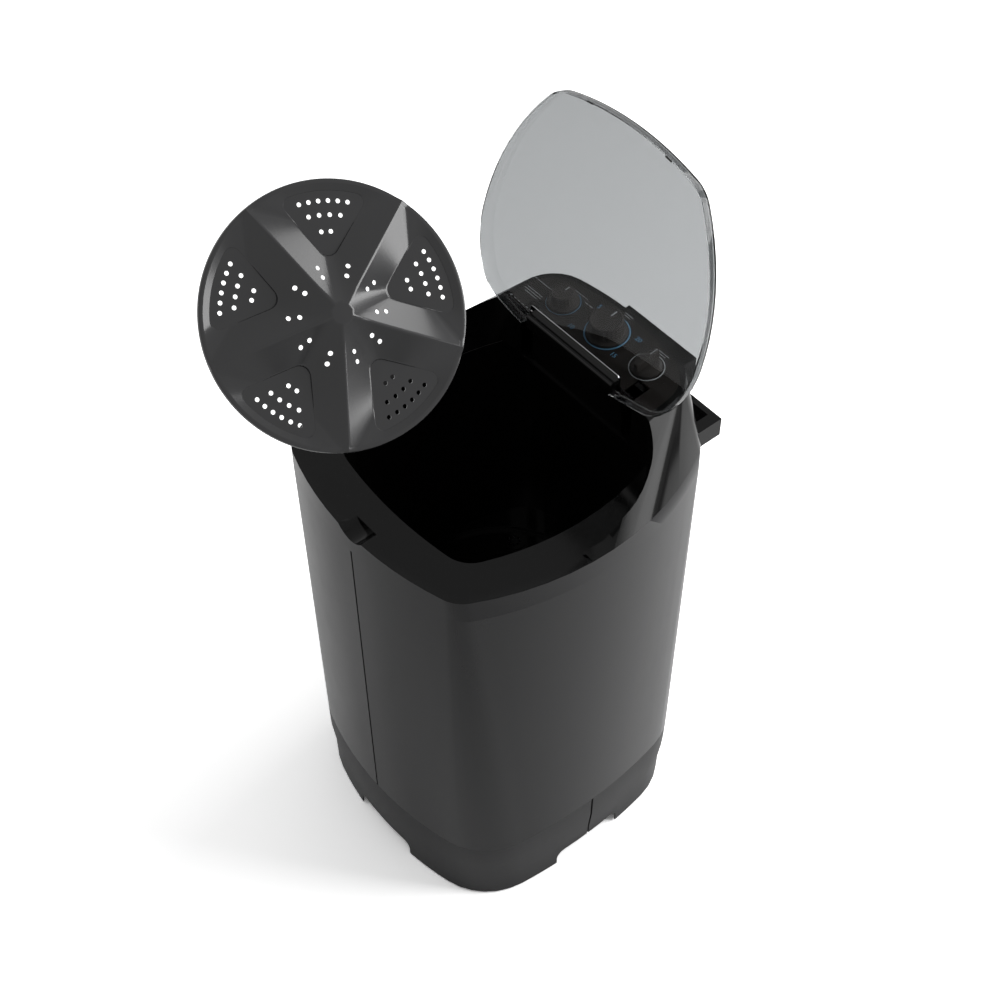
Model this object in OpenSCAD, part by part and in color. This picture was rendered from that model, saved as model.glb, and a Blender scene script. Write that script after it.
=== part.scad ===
// Semi-automatic top-loading washing machine with one tub, its lid standing open and its
// pulsator disc lifted out of the tub. Millimetres, +X to the user's right, +Y to the back, +Z up.
// The origin is on the floor, in the middle between the sides.

/* [Body] */
// Half of the body's width at the deck
rim_half_width = 300; // [285:1:320]
// Half of the body's depth at the deck
rim_half_depth = 311; // [300:1:330]
// Radius of the bowed side at the deck
rim_side_radius = 528; // [480:1:700]
// Radius of the bowed front and back at the deck
rim_front_radius = 642; // [600:1:900]
// Radius of the upright corners at the deck
rim_corner_radius = 60; // [45:1:80]
// How far each side leans in, from the deck down to the floor
side_taper = 11; // [4:1:20]
// How far the front and the back lean in
front_taper = 13; // [4:1:20]
// Radius of the bowed side at the floor
floor_side_radius = 1062; // [900:1:1300]
// Radius of the bowed front and back at the floor
floor_front_radius = 658; // [600:1:900]
// Radius of the upright corners at the floor
floor_corner_radius = 141; // [120:1:160]
// Height of the deck's rim above the floor
deck_height = 945; // [900:1:1000]
// Height of the deck's skirt
skirt_height = 45; // [30:1:60]
// Height of the moulded base
base_height = 175; // [160:1:200]
// Wall of the cabinet, deck and base
shell_wall = 3; // [2:0.1:4]

/* [Base] */
// Height of the rubber pads
pad_height = 4; // [3:0.5:8]
// Radius of the rubber pads
pad_radius = 18; // [14:1:22]
// Distance of the pads from the body's sides at the floor
pad_side_inset = 84; // [74:1:94]
// Distance of the pads from the body's front and back at the floor
pad_front_inset = 73; // [68:1:83]
// Width of the arch between two feet
arch_width = 155; // [120:1:180]
// Height of the arch between two feet
arch_height = 40; // [30:1:50]
// Radius of the arch's corners
arch_radius = 20; // [10:1:28]
// Height at which the base starts to step in
shoulder_height = 118; // [110:1:130]
// Height at which the step in is complete
ankle_height = 65; // [60:1:80]
// How far the foot of the base steps in
ankle_inset = 5; // [3:0.5:8]
// Height of the base's inner floor
base_floor_height = 60; // [55:1:64]
// Thickness of the base's inner floor
base_floor_thickness = 4; // [3:0.5:6]
// Width of the shallow grooves in the front and sides
groove_width = 4; // [2:0.5:8]
// Depth of the shallow grooves
groove_depth = 1.5; // [1:0.1:2]

/* [Deck] */
// Width of the dished lip inside the rim
lip_width = 20; // [14:1:24]
// How far the deck's land lies under the rim
seat_drop = 5; // [3:0.5:8]
// Half width of the tub's opening
opening_half_width = 219; // [210:1:222]
// Distance of the opening's front from the deck's front
front_land = 86; // [80:1:92]
// Distance of the opening's back from the deck's back
rear_land = 58; // [55:1:64]
// Radius of the opening's sides
opening_side_radius = 505; // [450:1:600]
// Radius of the opening's front and back
opening_front_radius = 847; // [700:1:1000]
// Radius of the opening's corners
opening_corner_radius = 57; // [45:1:70]
// Radius of the finger notch in the front rim
notch_radius = 40; // [36:1:45]
// Depth of the finger notch
notch_depth = 15; // [10:1:16]
// How far the finger notch reaches back
notch_reach = 36; // [30:1:40]

/* [Console] */
// Height of the console's panel above the rim, at the middle knob
console_height = 111; // [100:1:130]
// Slope of the panel, up to the back
console_tilt = 5.4; // [0:0.1:10]
// Half width of the console's top
console_half_width = 195; // [180:1:205]
// Depth of the console, from the rear rim to its front wall
console_depth = 131; // [127:1:133]
// Radius of the rear corners of the console's top
console_corner_radius = 80; // [60:5:90]
// Gap between the console's top and the rear rim's outline
console_rear_inset = 2; // [1:0.5:6]
// Where the console's shoulders start to rise from the rim
shoulder_y = -30; // [-60:1:0]
// Thickness of the panel
panel_thickness = 3; // [2:0.5:4]
// Border of the console around the panel
panel_border = 9; // [6:1:14]
// Half width of the bar in front of the panel
bar_half_width = 108; // [90:1:110]
// Height of the bar
bar_height = 32; // [26:1:36]
// Depth of the bar
bar_depth = 23; // [18:1:24]
// How far the bar stands above the panel's front edge
bar_rise = 22; // [16:1:24]
// Radius of the bar's long edges
bar_radius = 6; // [3:1:8]

/* [Knobs] */
// Place of the middle knob behind the console's front wall
knob_setback = 67.7; // [60:0.1:72]
// Radius of the timer's printed ring
timer_ring_radius = 40.8; // [38:0.1:44]
// Radius of the timer knob's skirt
timer_skirt_radius = 37; // [34:0.5:40]
// Radius of the timer knob's top
timer_top_radius = 30; // [26:0.5:32]
// Height of the timer knob
timer_knob_height = 34; // [26:1:38]
// Place of the drain knob, to the right
drain_knob_x = 104.5; // [95:0.5:112]
// Place of the drain knob, in front of the middle knob
drain_knob_forward = 4.2; // [0:0.1:10]
// Radius of the drain knob's printed ring
drain_ring_radius = 31.6; // [28:0.1:34]
// Radius of the drain knob
drain_knob_radius = 27; // [24:0.5:28]
// Place of the wash selector, to the left
wash_knob_x = -105; // [-112:0.5:-95]
// Place of the wash selector, in front of the middle knob
wash_knob_forward = 7.7; // [0:0.1:10]
// Radius of the wash selector's skirt
wash_skirt_radius = 29; // [26:0.5:30]
// Radius of the wash selector's top
wash_top_radius = 21; // [18:0.5:24]
// Height of the two smaller knobs
small_knob_height = 26; // [20:1:30]
// Radius of the knobs' shafts
knob_shaft_radius = 3; // [2.5:0.1:4]

/* [Lid] */
// Half width of the lid
lid_half_width = 262; // [258:1:265]
// Place of the closed lid's widest point
lid_widest_y = 17; // [12:1:22]
// Distance of the closed lid's front from the deck's front
lid_front_inset = 32; // [28:1:38]
// Gap between the closed lid and the console's front wall
lid_rear_gap = 7; // [5:1:11]
// Radius of the lid's sides, forward
lid_side_radius = 426; // [400:1:460]
// Radius of the lid's front edge
lid_front_radius = 564; // [520:1:620]
// Radius of the lid's front corners
lid_front_corner_radius = 65; // [55:1:75]
// Radius of the lid's sides, backward
lid_rear_side_radius = 190; // [180:1:200]
// Radius of the lid's rear corners
lid_rear_corner_radius = 70; // [60:1:76]
// Thickness of the lid
lid_thickness = 3; // [2:0.5:4]
// Depth of the lid's turned edge
lid_flange_depth = 15; // [10:1:15]
// Angle at which the lid rests open
lid_open_angle = 106; // [95:1:108]
// Height of the lid's hinge above the deck's rim
hinge_height = 61; // [58:1:64]
// Place of the hinge behind the console's front wall
hinge_setback = 20; // [18:1:22]
// Radius of the hinge pins
hinge_pin_radius = 3; // [2.5:0.1:4]

/* [Tub and pulsator] */
// Depth of the tub below the deck's rim
tub_depth = 465; // [430:1:480]
// Half width of the tub's floor
tub_floor_half_width = 207; // [204:1:212]
// How far the tub's front and back lean in, from the opening down to its floor
tub_front_taper = 13; // [9:1:19]
// Wall of the tub
tub_wall = 3; // [2:0.1:4]
// Radius of the round well in the tub's floor
well_radius = 199; // [197:1:200]
// Depth of the round well
well_depth = 10; // [6:1:12]
// Radius of the pulsator disc
disc_radius = 195; // [185:1:196]
// Thickness of the pulsator disc
disc_thickness = 4; // [3:0.5:6]
// Height of the pulsator's ribs at the hub
rib_hub_height = 44; // [36:1:52]
// Height of the pulsator's ribs at the rim
rib_rim_height = 7; // [4:1:12]
// Half width of the pulsator's ribs
rib_half_width = 44; // [36:1:47]
// Place of the lifted pulsator, to the right
disc_x = 22; // [10:1:40]
// Place of the lifted pulsator in front of the deck's front
disc_forward = 3; // [-10:1:30]
// Height of the lifted pulsator's middle
disc_z = 1451; // [1440:1:1480]
// Lean of the lifted pulsator
disc_lean = 44.6; // [40:0.1:50]
// Heading of the lifted pulsator's face
disc_heading = -12.9; // [-18:0.1:-8]

/* [Drive] */
// Radius of the drive shaft
shaft_radius = 8; // [7:0.5:10]
// Length of the shaft's end that stands in the tub
shaft_end_length = 24; // [18:1:28]
// Radius of the large pulley
large_pulley_radius = 90; // [80:1:95]
// Radius of the motor's pulley
small_pulley_radius = 30; // [26:1:36]
// Thickness of the pulleys
pulley_thickness = 20; // [16:1:24]
// Depth of the pulleys' groove
pulley_groove = 6; // [5:0.5:8]
// Radius of the motor
motor_radius = 62; // [55:1:66]
// Height of the motor
motor_height = 115; // [100:1:120]
// Place of the motor to the right
motor_x = 120; // [110:1:130]
// Place of the motor in front of the shaft
motor_y = -125; // [-135:1:-115]
// Radius of the motor's shaft
motor_shaft_radius = 6; // [5:0.5:7]

/* [Drain] */
// Place of the drain valve, to the left
drain_x = -115; // [-125:1:-105]
// Place of the drain valve, back
drain_y = 140; // [130:1:145]
// Radius of the drain valve's body
valve_radius = 24; // [20:1:26]
// Radius of the drain pipe
pipe_radius = 14; // [12:1:16]
// Wall of the drain pipe
pipe_wall = 2.5; // [2:0.5:3]
// Height of the drain spigot above the floor
spigot_height = 120; // [110:1:130]

/* [Hidden] */

$fn = 72;
// Thickness of the thin slices that a hull joins
slice = 0.02;
// How far a cut runs past the face that it opens
over = 1;
// Gap between pieces of different bodies
gap = 0.3;
// Radial clearance of a running fit
running = 0.04;
// Steps of each arc in an outline
arc_steps = 6;

floor_half_width = rim_half_width - side_taper;
floor_half_depth = rim_half_depth - front_taper;
pad_x = floor_half_width - pad_side_inset;
pad_y = floor_half_depth - pad_front_inset;
opening_half_depth = rim_half_depth - (front_land + rear_land) / 2;
opening_y = (front_land - rear_land) / 2;
tub_floor_half_depth = opening_half_depth - tub_front_taper;
console_front_y = rim_half_depth - console_depth;
knob_y = console_front_y + knob_setback;
lid_front_reach = rim_half_depth + lid_widest_y - lid_front_inset;
lid_rear_reach = console_front_y - lid_rear_gap - lid_widest_y;
disc_y = -rim_half_depth - disc_forward;

body_rim = [rim_half_width, rim_half_depth, rim_side_radius, rim_front_radius, rim_corner_radius];
body_floor = [floor_half_width, floor_half_depth, floor_side_radius, floor_front_radius,
  floor_corner_radius];
opening_dims = [opening_half_width, opening_half_depth, opening_side_radius,
  opening_front_radius, opening_corner_radius];
// The tub's floor keeps the bow of the opening, with rounder corners
tub_floor_corner_radius = 80;
tub_floor_dims = [tub_floor_half_width, tub_floor_half_depth, opening_side_radius,
  opening_front_radius, tub_floor_corner_radius];
// The flat rear edge of the lid cuts this nearly straight curve
lid_rear_radius = 900;
lid_front_dims = [lid_half_width, lid_front_reach, lid_side_radius, lid_front_radius,
  lid_front_corner_radius];
lid_rear_dims = [lid_half_width, lid_rear_reach, lid_rear_side_radius, lid_rear_radius,
  lid_rear_corner_radius];
ones = [1, 1, 1, 1, 1];

seat_z = deck_height - seat_drop;
land_thickness = shell_wall;
skirt_bottom = deck_height - skirt_height;
panel_z = deck_height + console_height;
// Height of the panel's plane at a place between the front and the back
function panel_height(y) = panel_z + (y - knob_y) * tan(console_tilt);

timer_place = [0, 0];
drain_knob_place = [drain_knob_x, -drain_knob_forward];
wash_knob_place = [wash_knob_x, -wash_knob_forward];
shaft_reach = 14;
shaft_depth = 24;

hinge_y = console_front_y + hinge_setback;
hinge_z = deck_height + hinge_height;
ear_inner_x = 118;
ear_width = 24;
ear_gap = 2;
ear_outer_x = ear_inner_x + ear_width;
cheek_width = 11;
cheek_radius = 14;
ear_radius = 9;
pin_length = ear_width + 2 * (ear_gap + cheek_width) - 2 * over;

tub_y = opening_y;
tub_floor_z = deck_height - tub_depth;
tub_floor_thickness = 4;
well_z = tub_floor_z - well_depth;
well_bottom = well_z - tub_floor_thickness;
flange_width = 18;
gasket_thickness = 1.5;
gasket_width = 6;
flange_top = seat_z - land_thickness - gasket_thickness;

plate_thickness = 3;
plate_radius = 90;
plate_bottom = well_bottom - plate_thickness;
housing_flange_thickness = 10;
housing_flange_radius = 60;
housing_tube_radius = 20;
housing_length = 78;
housing_bottom = plate_bottom - housing_length;
collar_radius = 17;
collar_height = 8;
collar_top = well_z + collar_height;
bush_radius = 12;
bush_length = 22;
relief_radius = 10;
seal_radius = 14;
seal_height = 7;
seal_top = collar_top - over;
shaft_top = collar_top + shaft_end_length;
spline_length = 16;
spline_depth = 1.5;
pulley_hub_radius = 16;
pulley_hub_rise = 12;
pulley_top = housing_bottom - pulley_hub_rise - gap;
pulley_bottom = pulley_top - pulley_thickness;
nut_height = 12;
nut_radius = 14;
nut_bottom = pulley_bottom - nut_height;
shaft_bottom = nut_bottom - 2 * over;
web_thickness = 6;
rim_thickness = 10;

motor_y_place = tub_y + motor_y;
belt_thickness = 4.5;
belt_gap = gap;
groove_height = 10;
motor_boss_height = 10;
motor_top = pulley_bottom - motor_boss_height - 2 * over;
motor_boss_radius = 14;
motor_shaft_depth = 28;
motor_bottom = motor_top - motor_height;
bracket_thickness = 5;
bracket_width = 180;
bracket_depth = 160;
mount_inset = 16;
mount_height = 16;
mount_radius = 13;
mount_x = bracket_width / 2 - mount_inset;
mount_y = bracket_depth / 2 - mount_inset;
mount_bottom = motor_bottom - bracket_thickness - mount_height;
bolt_radius = 3;
bolt_clearance = 0.2;
bolt_depth = 16;
bolt_head_height = 5;
bolt_head_radius = 6.5;
base_floor_top = base_floor_height + base_floor_thickness;

// Points along an arc, from one angle to another
function arc(centre, radius, from, to) =
  [for (i = [0:arc_steps]) let (a = from + (to - from) * i / arc_steps)
    centre + radius * [cos(a), sin(a)]];
function but_last(points) = [for (i = [0:len(points) - 2]) points[i]];
function reversed(points) = [for (i = [len(points) - 1:-1:0]) points[i]];
function flipped(points, sx, sy) = [for (p = points) [p[0] * sx, p[1] * sy]];
function angle_of(v) = atan2(v[1], v[0]);

// Front right quarter of a bowed rectangle, as three arcs that meet without a kink.
// dims holds the half width, the half depth and the radii of side, front and corner.
function corner_centre(side_centre, front_centre, side_reach, front_reach) =
  let (
    d = norm(front_centre - side_centre),
    t = (d * d + side_reach * side_reach - front_reach * front_reach) / (2 * d),
    h = sqrt(max(side_reach * side_reach - t * t, 0)),
    u = (front_centre - side_centre) / d,
    v = [u[1], -u[0]],
    one = side_centre + t * u + h * v,
    other = side_centre + t * u - h * v
  ) one[0] - one[1] > other[0] - other[1] ? one : other;
function quarter(dims) =
  let (
    side_centre = [dims[0] - dims[2], 0],
    front_centre = [0, dims[3] - dims[1]],
    c = corner_centre(side_centre, front_centre, dims[2] - dims[4], dims[3] - dims[4]),
    side_angle = angle_of(c - side_centre),
    front_angle = angle_of(c - front_centre)
  ) concat(
    but_last(arc(front_centre, dims[3], -90, front_angle)),
    but_last(arc(c, dims[4], front_angle, side_angle)),
    arc(side_centre, dims[2], side_angle, 0));

// The whole outline from its front and its rear quarter
function outline(front, rear) = concat(
  but_last(front),
  but_last(reversed(flipped(rear, 1, -1))),
  but_last(flipped(rear, -1, -1)),
  but_last(reversed(flipped(front, -1, 1))));
function even(dims) = outline(quarter(dims), quarter(dims));

// The body's outline at a height, moved inwards by an inset
function body_dims(z) = body_floor + (body_rim - body_floor) * z / deck_height;
function body(z, inset = 0) = even(body_dims(z) - inset * ones);
function lid_outline(grow = 0) =
  outline(quarter(lid_front_dims + grow * ones), quarter(lid_rear_dims + grow * ones));
function behind(points, y) = [for (p = points) if (p[1] > y) p];
function before(points, y) = [for (p = points) if (p[1] < y) p];

module slab(points, z, height) {
  translate([0, 0, z])
    linear_extrude(height)
      polygon(points);
}

// A solid through rings of equally many points, each at a height of its own
module loft(rings, heights) {
  count = len(rings[0]);
  last = len(rings) - 1;
  polyhedron(
    points = [for (k = [0:last]) for (p = rings[k]) [p[0], p[1], heights[k]]],
    faces = concat(
      [[for (i = [0:count - 1]) i]],
      [for (k = [1:last], i = [0:count - 1])
        [(k - 1) * count + i, k * count + i, (k - 1) * count + (i + 1) % count]],
      [for (k = [1:last], i = [0:count - 1])
        [k * count + i, k * count + (i + 1) % count, (k - 1) * count + (i + 1) % count]],
      [[for (i = [count - 1:-1:0]) last * count + i]]));
}

// The body's solid between two heights
module body_solid(low, high, inset_low, inset_high) {
  loft([body(low, inset_low), body(high, inset_high)], [low, high]);
}

// The body's back face at a place across it, for a height
function body_back(x, z) =
  let (d = body_dims(z)) sqrt(d[3] * d[3] - x * x) + d[1] - d[3];

// A frame on the panel, with +Z out of it
module on_console(place = [0, 0]) {
  translate([0, knob_y, panel_z])
    rotate([console_tilt, 0, 0])
      translate([place[0], place[1], 0])
        children();
}

module ring(outer, inner, height) {
  difference() {
    cylinder(r = outer, h = height);
    translate([0, 0, -over])
      cylinder(r = inner, h = height + 2 * over);
  }
}

module at_corners(x, y) {
  for (sx = [-1, 1], sy = [-1, 1])
    translate([sx * x, sy * y, 0])
      children();
}

// The base

// One arch between two feet, as a cut along Y
module arch_cut(length) {
  half = arch_width / 2;
  rotate([90, 0, 0])
    translate([0, 0, -length / 2])
      linear_extrude(length) {
        translate([-half, -over])
          square([arch_width, arch_height - arch_radius + over]);
        translate([-half + arch_radius, -over])
          square([arch_width - 2 * arch_radius, arch_height + over]);
        for (sx = [-1, 1])
          translate([sx * (half - arch_radius), arch_height - arch_radius])
            circle(r = arch_radius);
      }
}

// The solid that fills the base's outside down to its soles
module base_solid(inset, extra) {
  loft(
    [body(pad_height, ankle_inset + inset), body(ankle_height, ankle_inset + inset),
      body(shoulder_height, inset), body(base_height, inset)],
    [pad_height - extra, ankle_height, shoulder_height, base_height + extra]);
}

foot_post_radius = pad_radius + shell_wall;
gland_x = 150;
gland_radius = 8;
gland_flange_radius = 12;
spigot_x = drain_x;

module base() {
  color("#2f2f30") {
    difference() {
      base_solid(0, 0);
      base_solid(shell_wall, over);
      arch_cut(4 * rim_half_depth);
      rotate([0, 0, 90])
        arch_cut(4 * rim_half_width);
      base_grooves();
      spigot_hole();
      gland_hole();
    }
    slab(body(base_floor_height, ankle_inset + shell_wall / 2), base_floor_height,
      base_floor_thickness);
    at_corners(pad_x, pad_y)
      translate([0, 0, pad_height])
        cylinder(r = foot_post_radius, h = base_floor_height - pad_height);
    translate([motor_x, motor_y_place, 0])
      at_corners(mount_x, mount_y)
        translate([0, 0, base_floor_top])
          difference() {
            cylinder(r = mount_radius, h = mount_bottom - base_floor_top);
            translate([0, 0, mount_bottom - base_floor_top - bolt_depth])
              cylinder(r = bolt_radius + bolt_clearance, h = bolt_depth + over);
          }
  }
}

// Shallow upright grooves in the middle of the front and of both sides
module base_grooves() {
  front_groove();
  for (sx = [-1, 1])
    translate([sx * (floor_half_width + groove_depth), 0, 0])
      cube([4 * groove_depth + 2 * ankle_inset, groove_width, 2 * base_height], center = true);
}

// The groove down the front follows the front's lean
module front_groove() {
  lean = atan((rim_half_depth - floor_half_depth) / deck_height);
  translate([0, -floor_half_depth, 0])
    rotate([lean, 0, 0])
      translate([-groove_width / 2, -over, base_height])
        cube([groove_width, groove_depth + over, skirt_bottom]);
}

module spigot_hole() {
  translate([spigot_x, 0, spigot_height])
    rotate([-90, 0, 0])
      cylinder(r = pipe_radius + gap, h = 2 * rim_half_depth);
}

module gland_hole() {
  translate([gland_x, 0, spigot_height])
    rotate([-90, 0, 0])
      cylinder(r = gland_radius, h = 2 * rim_half_depth);
}

module foot_pads() {
  color("#1b1b1b")
    at_corners(pad_x, pad_y)
      cylinder(r = pad_radius, h = pad_height);
}

// A flange on the body's back, shaped to its bow
module back_flange(x, radius, thickness) {
  back = body_back(x, spigot_height);
  difference() {
    translate([x, back - radius, spigot_height])
      rotate([-90, 0, 0])
        cylinder(r = radius, h = radius + thickness);
    body_solid(0, base_height, -gap, -gap);
  }
}

gland_bore = 4;
gland_flange_thickness = 3;
gland_inside = 8;

module cord_gland() {
  back = body_back(gland_x, spigot_height);
  wall_inside = back - shell_wall - gland_inside;
  color("#1b1b1b")
    difference() {
      union() {
        translate([gland_x, wall_inside, spigot_height])
          rotate([-90, 0, 0])
            cylinder(r = gland_radius - running, h = back + gland_flange_thickness - wall_inside);
        back_flange(gland_x, gland_flange_radius, gland_flange_thickness);
      }
      translate([gland_x, wall_inside - over, spigot_height])
        rotate([-90, 0, 0])
          cylinder(r = gland_bore, h = 2 * (gland_inside + shell_wall + gland_flange_radius));
    }
}

// The cabinet

cover_half_width = 115;
cover_low = 220;
cover_high = 520;
cover_lap = 12;
cover_thickness = 2.5;
cover_screw_inset = 6;
screw_radius = 2;
screw_head_radius = 4.5;
screw_head_height = 2;
screw_length = 10;

module cover_box(grow) {
  translate([-cover_half_width - grow, 0, cover_low - grow])
    cube([2 * (cover_half_width + grow), 2 * rim_half_depth, cover_high - cover_low + 2 * grow]);
}

// Places of the cover's screws: inside its lap, at the four corners
module at_cover_screws() {
  for (sx = [-1, 1], z = [cover_low - cover_screw_inset, cover_high + cover_screw_inset]) {
    x = sx * (cover_half_width + cover_screw_inset);
    translate([x, body_back(x, z), z])
      rotate([0, 0, -asin(x / body_dims(z)[3])])
        rotate([-90, 0, 0])
          children();
  }
}

module cabinet() {
  color("#3e3e3f")
    difference() {
      body_solid(base_height, skirt_bottom, 0, 0);
      body_solid(base_height - over, skirt_bottom + over, shell_wall, shell_wall);
      front_groove();
      cover_box(0);
      at_cover_screws()
        translate([0, 0, -screw_length])
          cylinder(r = screw_radius, h = 2 * screw_length);
    }
}

module service_cover() {
  color("#343435")
    difference() {
      intersection() {
        body_solid(base_height, skirt_bottom, -cover_thickness, -cover_thickness);
        cover_box(cover_lap);
      }
      body_solid(base_height - over, skirt_bottom + over, 0, 0);
      at_cover_screws()
        translate([0, 0, -cover_thickness])
          cylinder(r = screw_radius, h = screw_length);
    }
}

module cover_screws() {
  color("#9a9a9a")
    at_cover_screws() {
      translate([0, 0, -screw_length + cover_thickness])
        cylinder(r = screw_radius - running, h = screw_length + gap);
      translate([0, 0, cover_thickness + gap])
        cylinder(r = screw_head_radius, h = screw_head_height);
    }
}

// The deck with its console

// The sides of the console's top are nearly straight
console_side_radius = 6000;
console_dims = [console_half_width, rim_half_depth - console_rear_inset, console_side_radius,
  rim_front_radius, console_corner_radius];
function console_top(inset, front = console_front_y) = concat(
  [[-console_half_width + inset, front], [console_half_width - inset, front]],
  behind(even(console_dims - inset * ones), console_front_y));

// The top's outline in the panel's own frame
function in_panel(points) = [for (p = points) [p[0], (p[1] - knob_y) / cos(console_tilt)]];

// The console's solid: from the rear of the rim up to the sloping top
module console_solid(inset, drop) {
  hull() {
    slab(behind(body(deck_height, inset), shoulder_y), deck_height - inset - slice, slice);
    translate([0, knob_y, panel_z])
      rotate([console_tilt, 0, 0])
        translate([0, 0, -drop - slice])
          linear_extrude(slice)
            polygon(in_panel(console_top(inset, console_front_y - seat_gap)));
  }
}

seat_gap = 14;
// The room above the deck's land in which the lid lies
module lid_room(grow = 0) {
  room = lid_outline(seat_gap + grow);
  limit = console_front_y + grow;
  intersection() {
    translate([0, lid_widest_y, 0])
      slab(room, seat_z - grow, 2 * console_height);
    translate([-rim_half_width, limit - 2 * rim_half_depth, 0])
      cube([2 * rim_half_width, 2 * rim_half_depth, 2 * deck_height]);
  }
}

// The opening stops short of the console, whose floor covers the back of the tub
module opening_cut() {
  intersection() {
    translate([0, opening_y, 0])
      slab(even(opening_dims), skirt_bottom, skirt_height + over);
    translate([-rim_half_width, console_front_y - console_ledge - 2 * rim_half_depth, 0])
      cube([2 * rim_half_width, 2 * rim_half_depth, 2 * deck_height]);
  }
}
console_ledge = 4;

// The slots in the console's front wall through which the lid's ears swing
module ear_slots() {
  front = console_front_y - seat_gap - over;
  back = console_front_y + ear_slot_depth + over;
  for (sx = [-1, 1])
    translate([sx * (ear_inner_x + ear_width / 2) - ear_width / 2 - ear_gap, front,
      seat_z + ear_gap])
      cube([ear_width + 2 * ear_gap, back - front, 2 * console_height]);
}
ear_slot_depth = 34;

module hinge_cheeks() {
  for (sx = [-1, 1], x = [ear_inner_x - ear_gap - cheek_width, ear_outer_x + ear_gap])
    translate([sx * (x + cheek_width / 2) - cheek_width / 2, 0, 0])
      difference() {
        translate([0, console_front_y - shell_wall, hinge_z - cheek_radius])
          cube([cheek_width, ear_slot_depth + shell_wall, 2 * cheek_radius]);
        translate([-over, hinge_y, hinge_z])
          rotate([0, 90, 0])
            cylinder(r = hinge_pin_radius, h = cheek_width + 2 * over);
      }
}

module deck() {
  panel_recess = panel_thickness;
  color("#1d1d1e") {
    difference() {
      union() {
        body_solid(skirt_bottom, deck_height, 0, 0);
        difference() {
          console_solid(0, 0);
          lid_room();
        }
      }
      // The hollow under the deck and inside the console
      body_solid(skirt_bottom - over, seat_z - land_thickness, shell_wall, shell_wall);
      difference() {
        console_solid(shell_wall, panel_recess + shell_wall);
        lid_room(shell_wall);
      }
      // The dished land inside the rim
      dished_land();
      rear_land();
      opening_cut();
      notch_cut();
      translate([0, 0, base_height])
        front_groove();
      on_console()
        translate([0, 0, -panel_recess])
          linear_extrude(panel_recess + over)
            polygon(in_panel(console_top(panel_border)));
      knob_holes();
      ear_slots();
      at_tub_screws()
        cylinder(r = screw_radius, h = tub_screw_length);
    }
    difference() {
      hinge_cheeks();
      lid_room();
    }
    notch_trough();
  }
}

// The land starts at the rim's lip and stops at the console's shoulders
module dished_land() {
  hull() {
    slab(before(body(deck_height, lip_width), console_front_y), seat_z, slice);
    slab(before(body(deck_height, shell_wall), shoulder_y), deck_height, slice);
  }
}

shoulder_lead = 30;
// Beside the shoulders the land goes on as far as the lid needs. It starts a little before
// them, where the rim's last straight piece ends.
module rear_land() {
  intersection() {
    lid_room();
    translate([-rim_half_width, shoulder_y - shoulder_lead, 0])
      cube([2 * rim_half_width, 2 * rim_half_depth, 2 * deck_height]);
  }
}

module notch_cut(grow = 0) {
  translate([0, -rim_half_depth - over, deck_height + notch_radius - notch_depth])
    rotate([-90, 0, 0])
      cylinder(r = notch_radius + grow, h = notch_reach + over + grow);
}

// The wall of the notch, under the land
module notch_trough() {
  difference() {
    intersection() {
      notch_cut(shell_wall);
      body_solid(skirt_bottom, seat_z, shell_wall / 2, shell_wall / 2);
    }
    notch_cut();
  }
}

module knob_holes() {
  for (place = [timer_place, drain_knob_place, wash_knob_place])
    on_console(place)
      translate([0, 0, -shaft_depth])
        cylinder(r = knob_shaft_radius + gap, h = shaft_depth + over);
}

module console_panel() {
  color("#2f2c2a")
    difference() {
      on_console()
        translate([0, 0, -panel_thickness])
          linear_extrude(panel_thickness)
            polygon(in_panel(console_top(panel_border + gap)));
      knob_holes();
      ear_slots();
    }
}

ring_thickness = 0.8;
ring_width = 3;
wash_ring_radius = 31.5;

module dial_rings() {
  color("#e9eef2") {
    on_console()
      ring(timer_ring_radius, timer_ring_radius - ring_width, ring_thickness);
    on_console(drain_knob_place)
      ring(drain_ring_radius, drain_ring_radius - ring_width, ring_thickness);
    on_console(wash_knob_place)
      ring(wash_ring_radius, wash_ring_radius - ring_width / 2, ring_thickness);
  }
}

module front_bar() {
  top = panel_height(console_front_y) + bar_rise;
  front = console_front_y - bar_depth;
  color("#161616")
    translate([-bar_half_width, 0, 0])
      rotate([90, 0, 90])
        linear_extrude(2 * bar_half_width) {
          translate([front + bar_radius, top - bar_height])
            square([bar_depth - bar_radius, bar_height]);
          translate([front, top - bar_height + bar_radius])
            square([bar_radius, bar_height - 2 * bar_radius]);
          for (z = [top - bar_height + bar_radius, top - bar_radius])
            translate([front + bar_radius, z])
              circle(r = bar_radius);
        }
}

// Pieces on the back

holder_left = -45;
holder_right = 125;
holder_depth = 31;
holder_back = rim_half_depth + holder_depth;
holder_top = 1030;
holder_bottom = 955;
holder_wall = 2.5;

// What lies inside the rim's outline, grown so that pieces behind it only touch it
module rim_prism(grow) {
  slab(body(deck_height, -grow), skirt_bottom - skirt_height, 2 * (console_height + skirt_height));
}

module hose_holder() {
  width = holder_right - holder_left;
  color("#1d1d1e")
    difference() {
      translate([holder_left, rim_half_depth / 2, holder_bottom])
        cube([width, holder_back - rim_half_depth / 2, holder_top - holder_bottom]);
      rim_prism(0);
      difference() {
        translate([holder_left + holder_wall, 0, holder_bottom + holder_wall])
          cube([width - 2 * holder_wall, holder_back - holder_wall, holder_top]);
        rim_prism(holder_wall);
      }
    }
}

clip_x = -98;
clip_width = 36;
clip_top = 1005;
clip_height = 26;
clip_bore = 11;

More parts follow.
